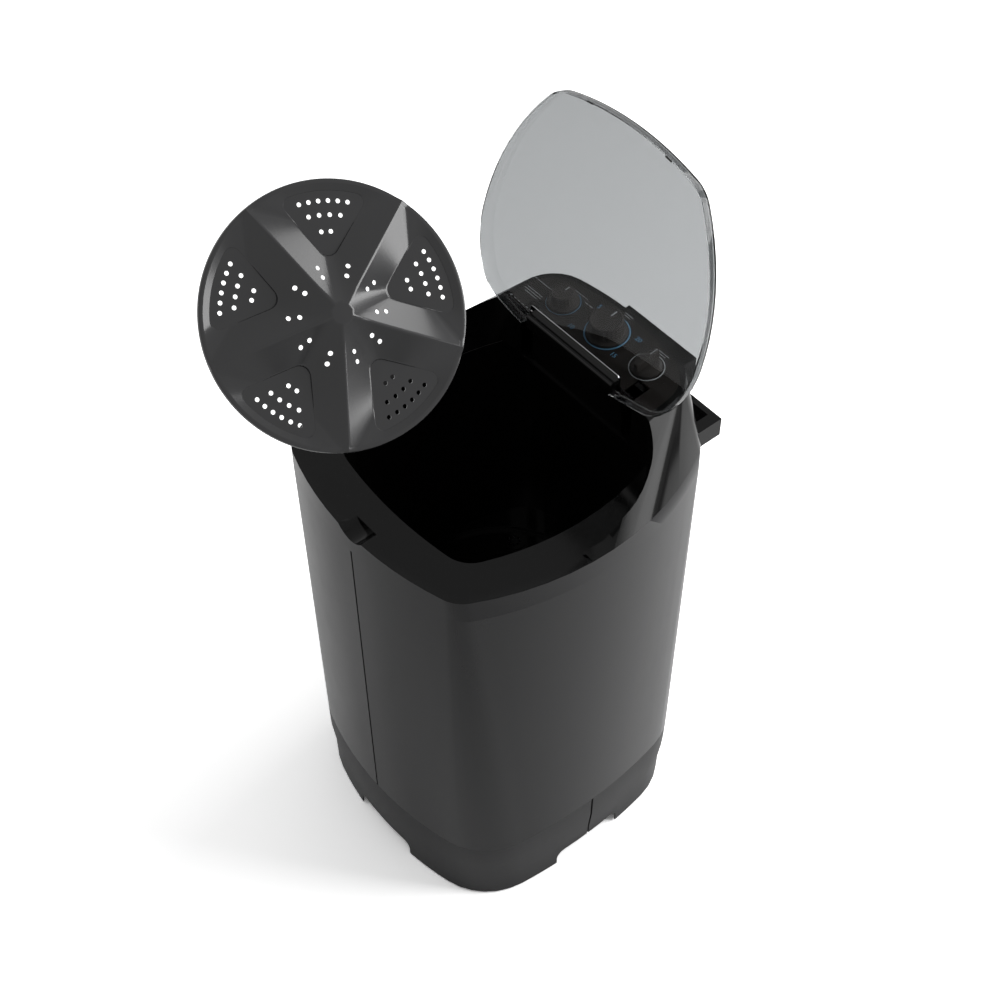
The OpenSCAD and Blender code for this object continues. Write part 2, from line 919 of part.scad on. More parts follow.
module hose_clip() {
  color("#1d1d1e")
    difference() {
      translate([clip_x - clip_width / 2, rim_half_depth / 2, clip_top - clip_height])
        cube([clip_width, holder_back - rim_half_depth / 2, clip_height]);
      rim_prism(0);
      translate([clip_x, holder_back - clip_bore / 2, clip_top - clip_height - over])
        cylinder(r = clip_bore, h = clip_height + 2 * over);
    }
}

handle_side_inset = 98;
handle_half_width = rim_half_width - handle_side_inset;
handle_reach = 26;
handle_back = rim_half_depth + handle_reach;
handle_depth = 12;
handle_end = 22;
handle_height = 40;

module rear_handle() {
  color("#1d1d1e")
    difference() {
      translate([-handle_half_width, rim_half_depth / 2, deck_height - handle_height])
        cube([2 * handle_half_width, handle_back - rim_half_depth / 2, handle_height]);
      rim_prism(0);
      translate([-handle_half_width + handle_end, 0, skirt_bottom])
        cube([2 * (handle_half_width - handle_end), handle_back - handle_depth,
          2 * skirt_height]);
    }
}

// The lid, drawn closed and turned open about its hinge

bumper_gap = 0.5;
bumper_thickness = 1.5;
lid_top = seat_z + lid_flange_depth + lid_thickness + bumper_gap + bumper_thickness;
bumper_width = 14;
bumper_x = 90;
flange_wall = 3;
lid_notch_half_width = bar_half_width + 4;
lid_notch_depth = 40;
lid_rear_y = lid_widest_y + lid_rear_reach;

module open_lid() {
  translate([0, hinge_y, hinge_z])
    rotate([-lid_open_angle, 0, 0])
      translate([0, -hinge_y, -hinge_z])
        children();
}

module lid_notch() {
  translate([-lid_notch_half_width, lid_rear_y - lid_notch_depth, seat_z - over])
    cube([2 * lid_notch_half_width, 2 * lid_notch_depth, 2 * lid_notch_depth]);
}

module lid_ears() {
  y = lid_rear_y - ear_radius;
  for (sx = [-1, 1])
    translate([sx * (ear_inner_x + ear_width / 2) - ear_width / 2, 0, 0])
      difference() {
        rotate([90, 0, 90])
          linear_extrude(ear_width) {
            polygon([
              [y - 2 * ear_radius, lid_top - lid_thickness],
              [y + ear_radius, lid_top - lid_thickness],
              [hinge_y + ear_radius, hinge_z],
              [hinge_y - ear_radius, hinge_z],
              [y - ear_radius, lid_top],
              [y - 2 * ear_radius, lid_top]]);
            translate([hinge_y, hinge_z])
              circle(r = ear_radius);
          }
        translate([-over, hinge_y, hinge_z])
          rotate([0, 90, 0])
            cylinder(r = hinge_pin_radius + running, h = ear_width + 2 * over);
      }
}

module lid() {
  color("#8d9092", 0.6)
    open_lid() {
      difference() {
        translate([0, lid_widest_y, 0])
          slab(lid_outline(), lid_top - lid_thickness, lid_thickness);
        lid_notch();
      }
      difference() {
        translate([0, lid_widest_y, 0])
          slab(lid_outline(), lid_top - lid_thickness - lid_flange_depth, lid_flange_depth);
        translate([0, lid_widest_y, 0])
          slab(lid_outline(-flange_wall), 0, 2 * deck_height);
        lid_notch();
      }
      lid_ears();
    }
}

module lid_hinge_pins() {
  color("#b8b8b8")
    for (sx = [-1, 1])
      translate([sx * (ear_inner_x + ear_width / 2) - pin_length / 2, hinge_y, hinge_z])
        rotate([0, 90, 0])
          cylinder(r = hinge_pin_radius, h = pin_length);
}

module lid_bumpers() {
  bottom = lid_top - lid_thickness - lid_flange_depth - bumper_thickness;
  color("#1b1b1b")
    open_lid()
      intersection() {
        translate([0, lid_widest_y, 0])
          difference() {
            slab(lid_outline(), bottom, bumper_thickness);
            slab(lid_outline(-flange_wall), 0, 2 * deck_height);
          }
        for (sx = [-1, 1])
          translate([sx * bumper_x - bumper_width / 2, -2 * lid_front_reach, 0])
            cube([bumper_width, 2 * lid_front_reach, 2 * deck_height]);
      }
}

// The knobs, with their shafts and what they turn

knob_lift = 1.2;
skirt_thickness = 5;
grip_width = 9;
switch_top = panel_thickness + shell_wall;

// Bore that takes the shaft, from below
module knob_bore() {
  cylinder(r = knob_shaft_radius, h = shaft_reach);
}

module timer_knob() {
  color("#3a3a3a")
    on_console()
      difference() {
        translate([0, 0, knob_lift]) {
          cylinder(r = timer_skirt_radius, h = skirt_thickness);
          translate([0, 0, skirt_thickness])
            cylinder(r1 = timer_top_radius + knob_lift, r2 = timer_top_radius,
              h = timer_knob_height - skirt_thickness - knob_lift);
        }
        knob_bore();
      }
}

module drain_knob() {
  bar_length = 2 * drain_knob_radius - grip_width;
  color("#3a3a3a")
    on_console(drain_knob_place)
      difference() {
        translate([0, 0, knob_lift]) {
          cylinder(r = drain_knob_radius, h = skirt_thickness);
          translate([0, 0, skirt_thickness])
            linear_extrude(small_knob_height - skirt_thickness - knob_lift) {
              square([grip_width, bar_length], center = true);
              for (sy = [-1, 1])
                translate([0, sy * bar_length / 2])
                  circle(r = grip_width / 2);
            }
        }
        knob_bore();
      }
}

module wash_selector_knob() {
  color("#4a4a4a")
    on_console(wash_knob_place)
      difference() {
        translate([0, 0, knob_lift]) {
          cylinder(r = wash_skirt_radius, h = skirt_thickness);
          translate([0, 0, skirt_thickness])
            cylinder(r = wash_top_radius, h = small_knob_height - skirt_thickness - knob_lift);
        }
        knob_bore();
      }
}

module knob_shaft(place) {
  color("#c4c4c4")
    on_console(place)
      translate([0, 0, -shaft_depth])
        cylinder(r = knob_shaft_radius, h = shaft_depth + shaft_reach);
}

module wash_selector_shaft() {
  knob_shaft(wash_knob_place);
}

module timer_shaft() {
  knob_shaft(timer_place);
}

module drain_knob_shaft() {
  knob_shaft(drain_knob_place);
}

// A box under the panel with a bearing for the knob's shaft
module control_box(place, width, depth, height) {
  on_console(place)
    difference() {
      translate([-width / 2, -depth / 2, -switch_top - height])
        cube([width, depth, height]);
      translate([0, 0, -shaft_depth])
        cylinder(r = knob_shaft_radius + running, h = shaft_depth);
    }
}

timer_box = [58, 58, 36];
switch_box = [34, 40, 26];
selector_box = [30, 46, 28];

module wash_timer() {
  color("#c9c2ad")
    control_box(timer_place, timer_box[0], timer_box[1], timer_box[2]);
}

module wash_selector_switch() {
  color("#b9b2a0")
    control_box(wash_knob_place, switch_box[0], switch_box[1], switch_box[2]);
}

module drain_selector() {
  color("#d8d8d4")
    control_box(drain_knob_place, selector_box[0], selector_box[1], selector_box[2]);
}

// The tub

module tub_walls(inset, floor_z, top) {
  translate([0, tub_y, 0])
    loft([even(tub_floor_dims - inset * ones), even(opening_dims - inset * ones)],
      [floor_z, top]);
}

module drain_hole(radius) {
  translate([drain_x, drain_y, well_bottom - over])
    cylinder(r = radius, h = tub_floor_thickness + 2 * over);
}

grille_radius = 22;
grille_thickness = 2;
valve_bore = 18;

module wash_tub() {
  color("#181819")
    difference() {
      union() {
        tub_walls(-tub_wall, tub_floor_z - tub_floor_thickness, flange_top);
        translate([0, tub_y, 0])
          slab(even(opening_dims + flange_width * ones), flange_top - tub_wall, tub_wall);
        translate([0, tub_y, well_bottom])
          cylinder(r = well_radius + tub_wall, h = tub_floor_z - well_bottom);
      }
      tub_walls(0, tub_floor_z, flange_top + over);
      translate([0, tub_y, well_z])
        cylinder(r = well_radius, h = well_depth + over);
      translate([0, tub_y, well_bottom - over])
        cylinder(r = collar_radius + gap / 2, h = tub_floor_thickness + 2 * over);
      drain_hole(valve_bore);
      at_tub_screws()
        cylinder(r = screw_radius, h = tub_screw_length);
    }
}

module tub_gasket() {
  color("#222222")
    translate([0, tub_y, 0])
      difference() {
        slab(even(opening_dims + gasket_width * ones), flange_top, gasket_thickness);
        slab(even(opening_dims), flange_top - over, gasket_thickness + 2 * over);
      }
}

// Screws from below, through the tub's flange and into the deck's land, outside the gasket
tub_screw_reach = (gasket_width + flange_width) / 2;
tub_screw_length = tub_wall + gasket_thickness + land_thickness / 2;
module at_tub_screws() {
  x = opening_half_width + tub_screw_reach;
  y = opening_half_depth + tub_screw_reach;
  for (place = [[-x, 0], [x, 0], [0, -y], [0, y]])
    translate([place[0], tub_y + place[1], flange_top - tub_wall])
      children();
}

module tub_screws() {
  color("#9a9a9a")
    at_tub_screws() {
      cylinder(r = screw_radius - running, h = tub_screw_length);
      translate([0, 0, -screw_head_height])
        cylinder(r = screw_head_radius, h = screw_head_height);
    }
}

// The drain

module drain_grille() {
  color("#232324")
    translate([drain_x, drain_y, well_z])
      difference() {
        cylinder(r = grille_radius, h = grille_thickness);
        for (i = [0:7])
          rotate([0, 0, i * 45])
            translate([grille_radius / 2, 0, -over])
              cylinder(r = grille_radius / 8, h = grille_thickness + 2 * over);
      }
}

valve_height = 66;
valve_flange_radius = 27;
valve_flange_thickness = 5;
valve_floor = 4;
plug_wall = 2.5;
stem_radius = 4;
stem_reach = 22;
valve_bottom = well_bottom - valve_height;
outlet_z = valve_bottom + valve_floor + pipe_radius;
plug_height = 2 * pipe_radius + plug_wall;
pipe_inset = 36;
pipe_y = floor_half_depth - pipe_inset;

module drain_valve() {
  color("#7d7f81")
    translate([drain_x, drain_y, 0])
      difference() {
        union() {
          translate([0, 0, valve_bottom])
            cylinder(r = valve_radius, h = valve_height);
          translate([0, 0, well_bottom - valve_flange_thickness])
            cylinder(r = valve_flange_radius, h = valve_flange_thickness);
          translate([0, 0, outlet_z])
            rotate([-90, 0, 0])
              cylinder(r = pipe_radius, h = 2 * valve_radius);
        }
        translate([0, 0, valve_bottom + valve_floor])
          cylinder(r = valve_bore, h = valve_height);
        translate([0, 0, valve_bottom - over])
          cylinder(r = stem_radius + running, h = valve_height);
        translate([0, 0, outlet_z])
          rotate([-90, 0, 0])
            cylinder(r = pipe_radius - pipe_wall, h = 2 * valve_radius + over);
      }
}

// A cup that turns in the valve: the port in its side meets the outlet after a quarter turn
module drain_plug() {
  bottom = valve_bottom + valve_floor + gap;
  color("#303030")
    translate([drain_x, drain_y, 0])
      difference() {
        union() {
          translate([0, 0, bottom])
            cylinder(r = valve_bore - gap, h = plug_height);
          translate([0, 0, valve_bottom - stem_reach])
            cylinder(r = stem_radius, h = stem_reach + valve_floor + plug_wall);
        }
        translate([0, 0, bottom + plug_wall])
          cylinder(r = valve_bore - gap - plug_wall, h = plug_height);
        translate([0, 0, outlet_z])
          rotate([0, -90, 0])
            cylinder(r = pipe_radius - pipe_wall, h = 2 * valve_bore);
      }
}

// Two straight runs of pipe with a square elbow, from the valve down to the spigot
module drain_pipe() {
  start = drain_y + 2 * valve_radius;
  color("#4a4b4c")
    translate([drain_x, 0, 0])
      difference() {
        union() {
          translate([0, start, outlet_z])
            rotate([-90, 0, 0])
              cylinder(r = pipe_radius, h = pipe_y - start);
          translate([0, pipe_y, spigot_height])
            cylinder(r = pipe_radius, h = outlet_z - spigot_height);
          translate([0, pipe_y, outlet_z])
            sphere(r = pipe_radius);
          translate([0, pipe_y, spigot_height])
            sphere(r = pipe_radius);
        }
        translate([0, start - over, outlet_z])
          rotate([-90, 0, 0])
            cylinder(r = pipe_radius - pipe_wall, h = pipe_y - start + over);
        translate([0, pipe_y, spigot_height])
          cylinder(r = pipe_radius - pipe_wall, h = outlet_z - spigot_height);
        translate([0, pipe_y, spigot_height])
          rotate([-90, 0, 0])
            cylinder(r = pipe_radius - pipe_wall, h = 2 * pipe_radius);
        translate([0, pipe_y + pipe_radius - pipe_wall, spigot_height])
          rotate([-90, 0, 0])
            cylinder(r = 2 * pipe_radius, h = pipe_radius);
      }
}

spigot_reach = 28;
spigot_flange_radius = 20;

module drain_spigot() {
  start = pipe_y + pipe_radius - pipe_wall;
  length = body_back(spigot_x, spigot_height) + spigot_reach - start;
  color("#2a2a2b")
    difference() {
      union() {
        translate([spigot_x, start, spigot_height])
          rotate([-90, 0, 0])
            cylinder(r = pipe_radius, h = length);
        back_flange(spigot_x, spigot_flange_radius, shell_wall + gap);
      }
      translate([spigot_x, start - over, spigot_height])
        rotate([-90, 0, 0])
          cylinder(r = pipe_radius - pipe_wall, h = length + 2 * over);
    }
}

// The bearing unit under the tub

module on_axis(z) {
  translate([0, tub_y, z])
    children();
}

module bearing_plate() {
  color("#8f9396")
    on_axis(plate_bottom)
      ring(plate_radius, collar_radius + gap / 2, plate_thickness);
}

module bearing_housing() {
  color("#a9adb0")
    difference() {
      union() {
        on_axis(housing_bottom)
          cylinder(r = housing_tube_radius, h = housing_length);
        on_axis(plate_bottom - housing_flange_thickness)
          cylinder(r = housing_flange_radius, h = housing_flange_thickness);
        on_axis(plate_bottom)
          cylinder(r = collar_radius, h = collar_top - plate_bottom);
      }
      on_axis(housing_bottom - over)
        cylinder(r = relief_radius, h = collar_top - housing_bottom + 2 * over);
      on_axis(housing_bottom - over)
        cylinder(r = bush_radius, h = bush_length + over);
      on_axis(plate_bottom - bush_length)
        cylinder(r = bush_radius, h = bush_length);
      on_axis(seal_top - seal_height)
        cylinder(r = seal_radius, h = seal_height + 2 * over);
    }
}

module bush(z) {
  color("#c79a4b")
    on_axis(z)
      ring(bush_radius, shaft_radius + running, bush_length);
}

module upper_bush() {
  bush(plate_bottom - bush_length);
}

module lower_bush() {
  bush(housing_bottom);
}

module shaft_seal() {
  color("#202020")
    on_axis(seal_top - seal_height)
      ring(seal_radius, shaft_radius + running, seal_height);
}

module drive_shaft() {
  color("#c2c5c8")
    on_axis(0)
      difference() {
        translate([0, 0, shaft_bottom])
          cylinder(r = shaft_radius, h = shaft_top - shaft_bottom);
        for (i = [0:5])
          rotate([0, 0, i * 60])
            translate([shaft_radius, 0, shaft_top - spline_length])
              cylinder(r = spline_depth, h = spline_length + over, $fn = 24);
      }
}

// Rim with a groove for the belt, web and hub
module pulley(radius, hub_radius, hub_top, bore) {
  groove_low = (pulley_thickness - groove_height) / 2;
  web_low = (pulley_thickness - web_thickness) / 2;
  inner = max(radius - pulley_groove - rim_thickness, hub_radius);
  rotate_extrude()
    polygon([
      [bore, 0],
      [hub_radius, 0],
      [hub_radius, web_low],
      [inner, web_low],
      [inner, 0],
      [radius, 0],
      [radius, groove_low],
      [radius - pulley_groove, groove_low],
      [radius - pulley_groove, groove_low + groove_height],
      [radius, groove_low + groove_height],
      [radius, pulley_thickness],
      [inner, pulley_thickness],
      [inner, web_low + web_thickness],
      [hub_radius, web_low + web_thickness],
      [hub_radius, hub_top],
      [bore, hub_top]]);
}

module large_pulley() {
  color("#9b9ea1")
    on_axis(pulley_bottom)
      pulley(large_pulley_radius, pulley_hub_radius, pulley_thickness + pulley_hub_rise,
        shaft_radius);
}

module pulley_nut() {
  color("#b0b3b5")
    on_axis(nut_bottom)
      difference() {
        cylinder(r = nut_radius, h = nut_height, $fn = 6);
        translate([0, 0, -over])
          cylinder(r = shaft_radius, h = nut_height + 2 * over);
      }
}

// The belt lies clear of both grooves
module belt_area(grow) {
  hull() {
    translate([0, tub_y])
      circle(r = large_pulley_radius - pulley_groove + grow);
    translate([motor_x, motor_y_place])
      circle(r = small_pulley_radius - pulley_groove + grow);
  }
}

module drive_belt() {
  low = pulley_bottom + (pulley_thickness - groove_height) / 2 + belt_gap;
  color("#151515")
    translate([0, 0, low])
      linear_extrude(groove_height - 2 * belt_gap)
        difference() {
          belt_area(belt_gap + belt_thickness);
          belt_area(belt_gap);
        }
}

// The motor

module on_motor(z) {
  translate([motor_x, motor_y_place, z])
    children();
}

cap_height = 26;
cap_step = 4;

module motor() {
  color("#6d7073")
    difference() {
      union() {
        on_motor(motor_bottom)
          cylinder(r = motor_radius - cap_step, h = motor_height);
        on_motor(motor_bottom)
          cylinder(r = motor_radius, h = cap_height);
        on_motor(motor_top - cap_height)
          cylinder(r = motor_radius, h = cap_height);
        on_motor(motor_top)
          cylinder(r = motor_boss_radius, h = motor_boss_height);
      }
      on_motor(motor_top + motor_boss_height - motor_shaft_depth)
        cylinder(r = motor_shaft_radius + running, h = motor_shaft_depth + over);
    }
}

module motor_shaft() {
  color("#c2c5c8")
    on_motor(motor_top + motor_boss_height - motor_shaft_depth)
      cylinder(r = motor_shaft_radius, h = pulley_top - motor_top - motor_boss_height
        + motor_shaft_depth);
}

small_hub_radius = 12;

module motor_pulley() {
  color("#9b9ea1")
    on_motor(pulley_bottom)
      pulley(small_pulley_radius, small_hub_radius, pulley_thickness, motor_shaft_radius);
}

module motor_bracket() {
  color("#85898c")
    on_motor(motor_bottom - bracket_thickness)
      difference() {
        translate([-bracket_width / 2, -bracket_depth / 2, 0])
          cube([bracket_width, bracket_depth, bracket_thickness]);
        at_corners(mount_x, mount_y)
          translate([0, 0, -over])
            cylinder(r = bolt_radius + bolt_clearance, h = bracket_thickness + 2 * over);
      }
}

module motor_mounts() {
  color("#1b1b1b")
    on_motor(mount_bottom)
      at_corners(mount_x, mount_y)
        ring(mount_radius, bolt_radius + bolt_clearance, mount_height);
}

module motor_bolts() {
  shank = bolt_depth + mount_height + bracket_thickness;
  color("#b0b3b5")
    on_motor(mount_bottom - bolt_depth)
      at_corners(mount_x, mount_y) {
        cylinder(r = bolt_radius, h = shank);
        translate([0, 0, shank])
          cylinder(r = bolt_head_radius, h = bolt_head_height, $fn = 6);
      }
}

capacitor_x = -130;
capacitor_y = -90;
capacitor_radius = 20;
capacitor_height = 78;
clip_thickness = 1.5;
clip_band_height = 16;
clip_foot = 14;

module on_capacitor(z) {
  translate([capacitor_x, capacitor_y, z])
    children();
}

module capacitor() {
  color("#d6d8da")
    on_capacitor(base_floor_top)
      cylinder(r = capacitor_radius, h = capacitor_height);
}

module capacitor_clip() {
  color("#9a9d9f")
    on_capacitor(base_floor_top) {
      ring(capacitor_radius + clip_thickness, capacitor_radius, clip_band_height);
      difference() {
        for (sx = [-1, 1])
          translate([sx * (capacitor_radius + clip_foot / 2) - clip_foot / 2, -clip_foot / 2, 0])
            cube([clip_foot, clip_foot, clip_thickness]);
        translate([0, 0, -over])
          cylinder(r = capacitor_radius, h = clip_band_height);
      }
    }
}

// The pulsator, drawn in its own frame with +Z out of its face, then set where it is held

rib_count = 5;
rib_phase = 58;
disc_rim_width = 11;
disc_rim_height = 3;
hub_radius = 25;
hub_rise = 3;
hub_depth = 8;
insert_radius = 12;
insert_wall = insert_radius - shaft_radius - running;
insert_height = 30;
hole_radius = 3.4;
hole_steps = [[6, 163.5, 5], [4, 143.5, 6.2], [2, 120, 6.6]];
pair_radii = [56, 71];
pair_angle = 18;

module held_disc() {
  translate([disc_x, disc_y, disc_z])
    rotate([0, disc_lean, disc_heading])
      children();
}

// The ribs as one star: each is a ridge that falls from the hub to the rim
module disc_ribs(inset, bottom) {
  far = disc_radius - disc_rim_width / 2 - inset;
  half = rib_half_width - inset;
  pitch = 360 / rib_count;
  valley = half / sin(pitch / 2);
  last = rib_count - 1;
  rotate([0, 0, rib_phase])
    polyhedron(
      points = concat(
        [[0, 0, rib_hub_height - inset], [0, 0, bottom]],
        [for (k = [0:last]) for (p = [[far, 0, rib_rim_height - inset], [far, half, bottom],
          [valley * cos(pitch / 2), valley * sin(pitch / 2), bottom], [far, -half, bottom]])
          let (a = k * pitch)
          [p[0] * cos(a) - p[1] * sin(a), p[0] * sin(a) + p[1] * cos(a), p[2]]]),
      faces = [for (k = [0:last])
        let (crest = 2 + 4 * k, left = crest + 1, valley_point = crest + 2, right = crest + 3,
          next_right = 2 + 4 * ((k + 1) % rib_count) + 3)
        each [[0, left, crest], [0, valley_point, left], [0, crest, right],
          [0, next_right, valley_point], [crest, left, right],
          [1, left, valley_point], [1, right, left], [1, valley_point, next_right]]]);
}

module disc_holes() {
  sector = 360 / rib_count;
  for (k = [0:rib_count - 1])
    rotate([0, 0, rib_phase + (k + 1 / 2) * sector]) {
      for (row = hole_steps)
        for (i = [0:row[0] - 1])
          rotate([0, 0, (i - (row[0] - 1) / 2) * row[2]])
            translate([row[1] * disc_radius / disc_holes_reach, 0, -rib_hub_height])
              cylinder(r = hole_radius, h = 2 * rib_hub_height, $fn = 16);
      for (r = pair_radii, s = [-1, 1])
        rotate([0, 0, s * pair_angle])
          translate([r * disc_radius / disc_holes_reach, 0, -rib_hub_height])
            cylinder(r = hole_radius, h = 2 * rib_hub_height + hub_depth, $fn = 16);
    }
}
disc_holes_reach = 195;

module pulsator_disc() {
  color("#505152")
    held_disc()
      difference() {
        union() {
          difference() {
            union() {
              translate([0, 0, -disc_thickness])
                cylinder(r = disc_radius, h = disc_thickness);
              ring(disc_radius, disc_radius - disc_rim_width, disc_rim_height);
              disc_ribs(0, -disc_thickness / 2);
            }
            disc_ribs(disc_thickness, -disc_thickness - over);
          }
          cylinder(r = hub_radius, h = rib_hub_height + hub_rise);
          translate([0, 0, -hub_depth])
            cylinder(r = insert_radius + 2 * shell_wall, h = hub_depth);
        }
        disc_holes();
        translate([0, 0, -hub_depth - over])
          cylinder(r = insert_radius, h = insert_height + over);
      }
}

module pulsator_insert() {
  color("#b8bbbd")
    held_disc()
      translate([0, 0, -hub_depth])
        ring(insert_radius, insert_radius - insert_wall, insert_height);
}

base();
foot_pads();
cabinet();
deck();
wash_tub();
tub_gasket();
tub_screws();
console_panel();
dial_rings();
front_bar();
hose_holder();
hose_clip();
rear_handle();
service_cover();
cover_screws();
cord_gland();
lid();
lid_hinge_pins();
lid_bumpers();
wash_selector_knob();
wash_selector_shaft();
wash_selector_switch();
timer_knob();
timer_shaft();
wash_timer();
drain_knob();
drain_knob_shaft();
drain_selector();
drain_grille();
drain_valve();
drain_plug();
drain_pipe();
drain_spigot();
bearing_plate();
bearing_housing();
upper_bush();
lower_bush();
shaft_seal();
drive_shaft();
large_pulley();
pulley_nut();
drive_belt();
motor();
motor_shaft();
motor_pulley();
motor_bracket();
motor_mounts();
motor_bolts();
capacitor();
capacitor_clip();
pulsator_disc();
pulsator_insert();
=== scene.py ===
# %% [markdown]
# # The looks of a washing machine
#
# The solids of this machine come from its CAD source and stay where they are. This lesson
# dresses them: it models the smooth outer shells, the smoked lid, the knobs and the lifted
# pulsator disc in Blender, and gives every other piece a material of its own. Everything is in
# metres, with +X to the user's right, +Y to the back and +Z up.

# %% Load the solids
from math import atan2, cos, hypot, pi, radians, sin, sqrt

import bmesh
import bpy
from mathutils import Matrix, Vector
from mathutils.kdtree import KDTree


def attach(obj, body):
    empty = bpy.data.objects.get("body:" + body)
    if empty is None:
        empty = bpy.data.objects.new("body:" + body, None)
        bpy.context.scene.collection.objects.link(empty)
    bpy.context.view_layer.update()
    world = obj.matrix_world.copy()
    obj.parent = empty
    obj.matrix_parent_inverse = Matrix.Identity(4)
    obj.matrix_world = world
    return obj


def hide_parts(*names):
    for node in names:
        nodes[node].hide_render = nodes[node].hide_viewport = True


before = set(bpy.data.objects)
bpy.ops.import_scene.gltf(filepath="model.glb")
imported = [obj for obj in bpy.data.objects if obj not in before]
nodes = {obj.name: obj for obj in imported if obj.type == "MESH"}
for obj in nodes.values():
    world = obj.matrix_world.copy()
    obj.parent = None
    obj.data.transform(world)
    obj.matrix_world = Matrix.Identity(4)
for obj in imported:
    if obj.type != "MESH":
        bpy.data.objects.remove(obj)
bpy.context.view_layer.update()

# %% [markdown]
# ## The camera
#
# A wide view from above and from the right front corner, as a customer would look into the
# machine. Its place came from matching the body's edges.

# %% Camera
IMAGE_SIDE = 1000
FOCAL_PIXELS = 1868.7
camera_data = bpy.data.cameras.new("view")
camera = bpy.data.objects.new("view", camera_data)
bpy.context.scene.collection.objects.link(camera)
bpy.context.scene.camera = camera
camera_data.sensor_width = 36
camera_data.lens = camera_data.sensor_width * FOCAL_PIXELS / IMAGE_SIDE
camera.location = (1.6568, -1.3649, 3.2872)
aim = Vector((0, 0.009, 0.793)) - camera.location
camera.rotation_euler = aim.to_track_quat("-Z", "Y").to_euler()
print("lens:", round(camera_data.lens, 1), "mm")

# %% [markdown]
# ## Small helpers
#
# Colours are written as the screen shows them and turned to linear light by one function.
# One function adds a node to a material, with its settings and links.

# %% Helpers for materials


def linear(code):
    """A screen colour such as #3c3c3c as linear light, with full cover."""
    parts = [int(code[i:i + 2], 16) / 255 for i in (1, 3, 5)]
    return [p / 12.92 if p <= 0.04045 else ((p + 0.055) / 1.055) ** 2.4 for p in parts] + [1]


def add(tree, kind, choices=None, **sockets):
    """Adds a node. A socket is named, or is i0, i1 and so on by its number, and takes a value
    or another node's output."""
    node = tree.nodes.new(kind)
    for key, value in (choices or {}).items():
        setattr(node, key, value)
    for key, value in sockets.items():
        numbered = key[1:].isdigit()
        socket = node.inputs[int(key[1:]) if numbered else key.replace("_", " ")]
        if isinstance(value, bpy.types.NodeSocket):
            tree.links.new(value, socket)
        else:
            socket.default_value = value
    return node


def surface(name, colour, **settings):
    """A material with one Principled shader; returns the material, its tree and the shader."""
    material = bpy.data.materials.new(name)
    material.use_nodes = True
    tree = material.node_tree
    shader = tree.nodes["Principled BSDF"]
    shader.inputs["Base Color"].default_value = linear(colour)
    for key, value in settings.items():
        shader.inputs[key.replace("_", " ")].default_value = value
    material.diffuse_color = linear(colour)
    return material, tree, shader


def mottle(material, tree, shader, colour, other, size_mm, rough, bump_mm=0.0, stretch=(1, 1, 1)):
    """Breaks up a surface: colour and roughness wander a little, at a real size, and a bump
    may follow them. It returns the material."""
    place = add(tree, "ShaderNodeTexCoord")
    mapping = add(tree, "ShaderNodeMapping", Vector=place.outputs["Object"], Scale=stretch)
    noise = add(tree, "ShaderNodeTexNoise", Vector=mapping.outputs[0], Scale=1000 / size_mm,
                Detail=4.0, Roughness=0.6)
    mix = add(tree, "ShaderNodeMix", {"data_type": "RGBA"}, i0=noise.outputs["Fac"])
    mix.inputs[6].default_value = linear(colour)
    mix.inputs[7].default_value = linear(other)
    tree.links.new(mix.outputs[2], shader.inputs["Base Color"])
    spread = add(tree, "ShaderNodeMapRange", Value=noise.outputs["Fac"], To_Min=rough[0],
                 To_Max=rough[1])
    tree.links.new(spread.outputs[0], shader.inputs["Roughness"])
    if bump_mm:
        bump = add(tree, "ShaderNodeBump", Height=noise.outputs["Fac"], Strength=0.4,
                   Distance=bump_mm / 1000)
        tree.links.new(bump.outputs[0], shader.inputs["Normal"])
    return material


def wear(node, material):
    """Gives its material to a node, by name, or to a piece."""
    piece = nodes[node] if isinstance(node, str) else node
    piece.data.materials.clear()
    piece.data.materials.append(material)


# %% [markdown]
# ## Materials
#
# The outside is moulded plastic of two kinds: polished black for what the user touches, and a
# satin charcoal for the tapered cabinet. The gloss of both is kept low when seen straight on,
# so they stay dark, and rises only at grazing angles.

# %% Moulded plastics
# Polished black ABS: nearly black, with a faint ripple from the mould
polished_black = mottle(*surface("polished_black_abs", "#060606", Specular_IOR_Level=0.12),
                        "#050505", "#080808", 45, (0.10, 0.16), 0.02)
# Satin charcoal ABS: the cabinet's body colour, a little cloudy in its sheen
satin_charcoal = mottle(*surface("satin_charcoal_abs", "#1a1a1b", Specular_IOR_Level=0.15),
                        "#181819", "#1c1c1d", 60, (0.2, 0.26), 0.03)
# Textured grey polypropylene: the moulded base, a bit rougher than the cabinet
base_plastic = mottle(*surface("textured_grey_pp", "#1b1b1c", Specular_IOR_Level=0.15),
                      "#19191a", "#1f1f20", 2.5, (0.36, 0.46), 0.03)
# Black polypropylene of the tub: deep black, glossy and wet-looking
tub_black = mottle(*surface("tub_black_pp", "#070707", Specular_IOR_Level=0.3),
                   "#050505", "#0b0b0b", 30, (0.12, 0.2), 0.03)
# Polished grey ABS of the pulsator: dark when flat to the eye, bright on the ribs' flanks
disc_grey = mottle(*surface("polished_grey_abs", "#2a2a2b", Specular_IOR_Level=0.36),
                   "#282829", "#2d2d2e", 50, (0.16, 0.22), 0.02)
# Knob plastic: a warm dark grey that stands out a little from the panel
knob_grey = mottle(*surface("knob_grey_abs", "#4a4643", Specular_IOR_Level=0.2),
                   "#474340", "#4d4946", 12, (0.2, 0.28))
# Smoked acrylic of the lid: clear grey. Its index is below the real 1.49, so that the bright
# floor mirrored in it doesn't veil the panel and the knobs behind
smoked = surface("smoked_acrylic", "#868889", Roughness=0.02, IOR=1.25,
                 Transmission_Weight=1.0)[0]
print("plastics:", 7)

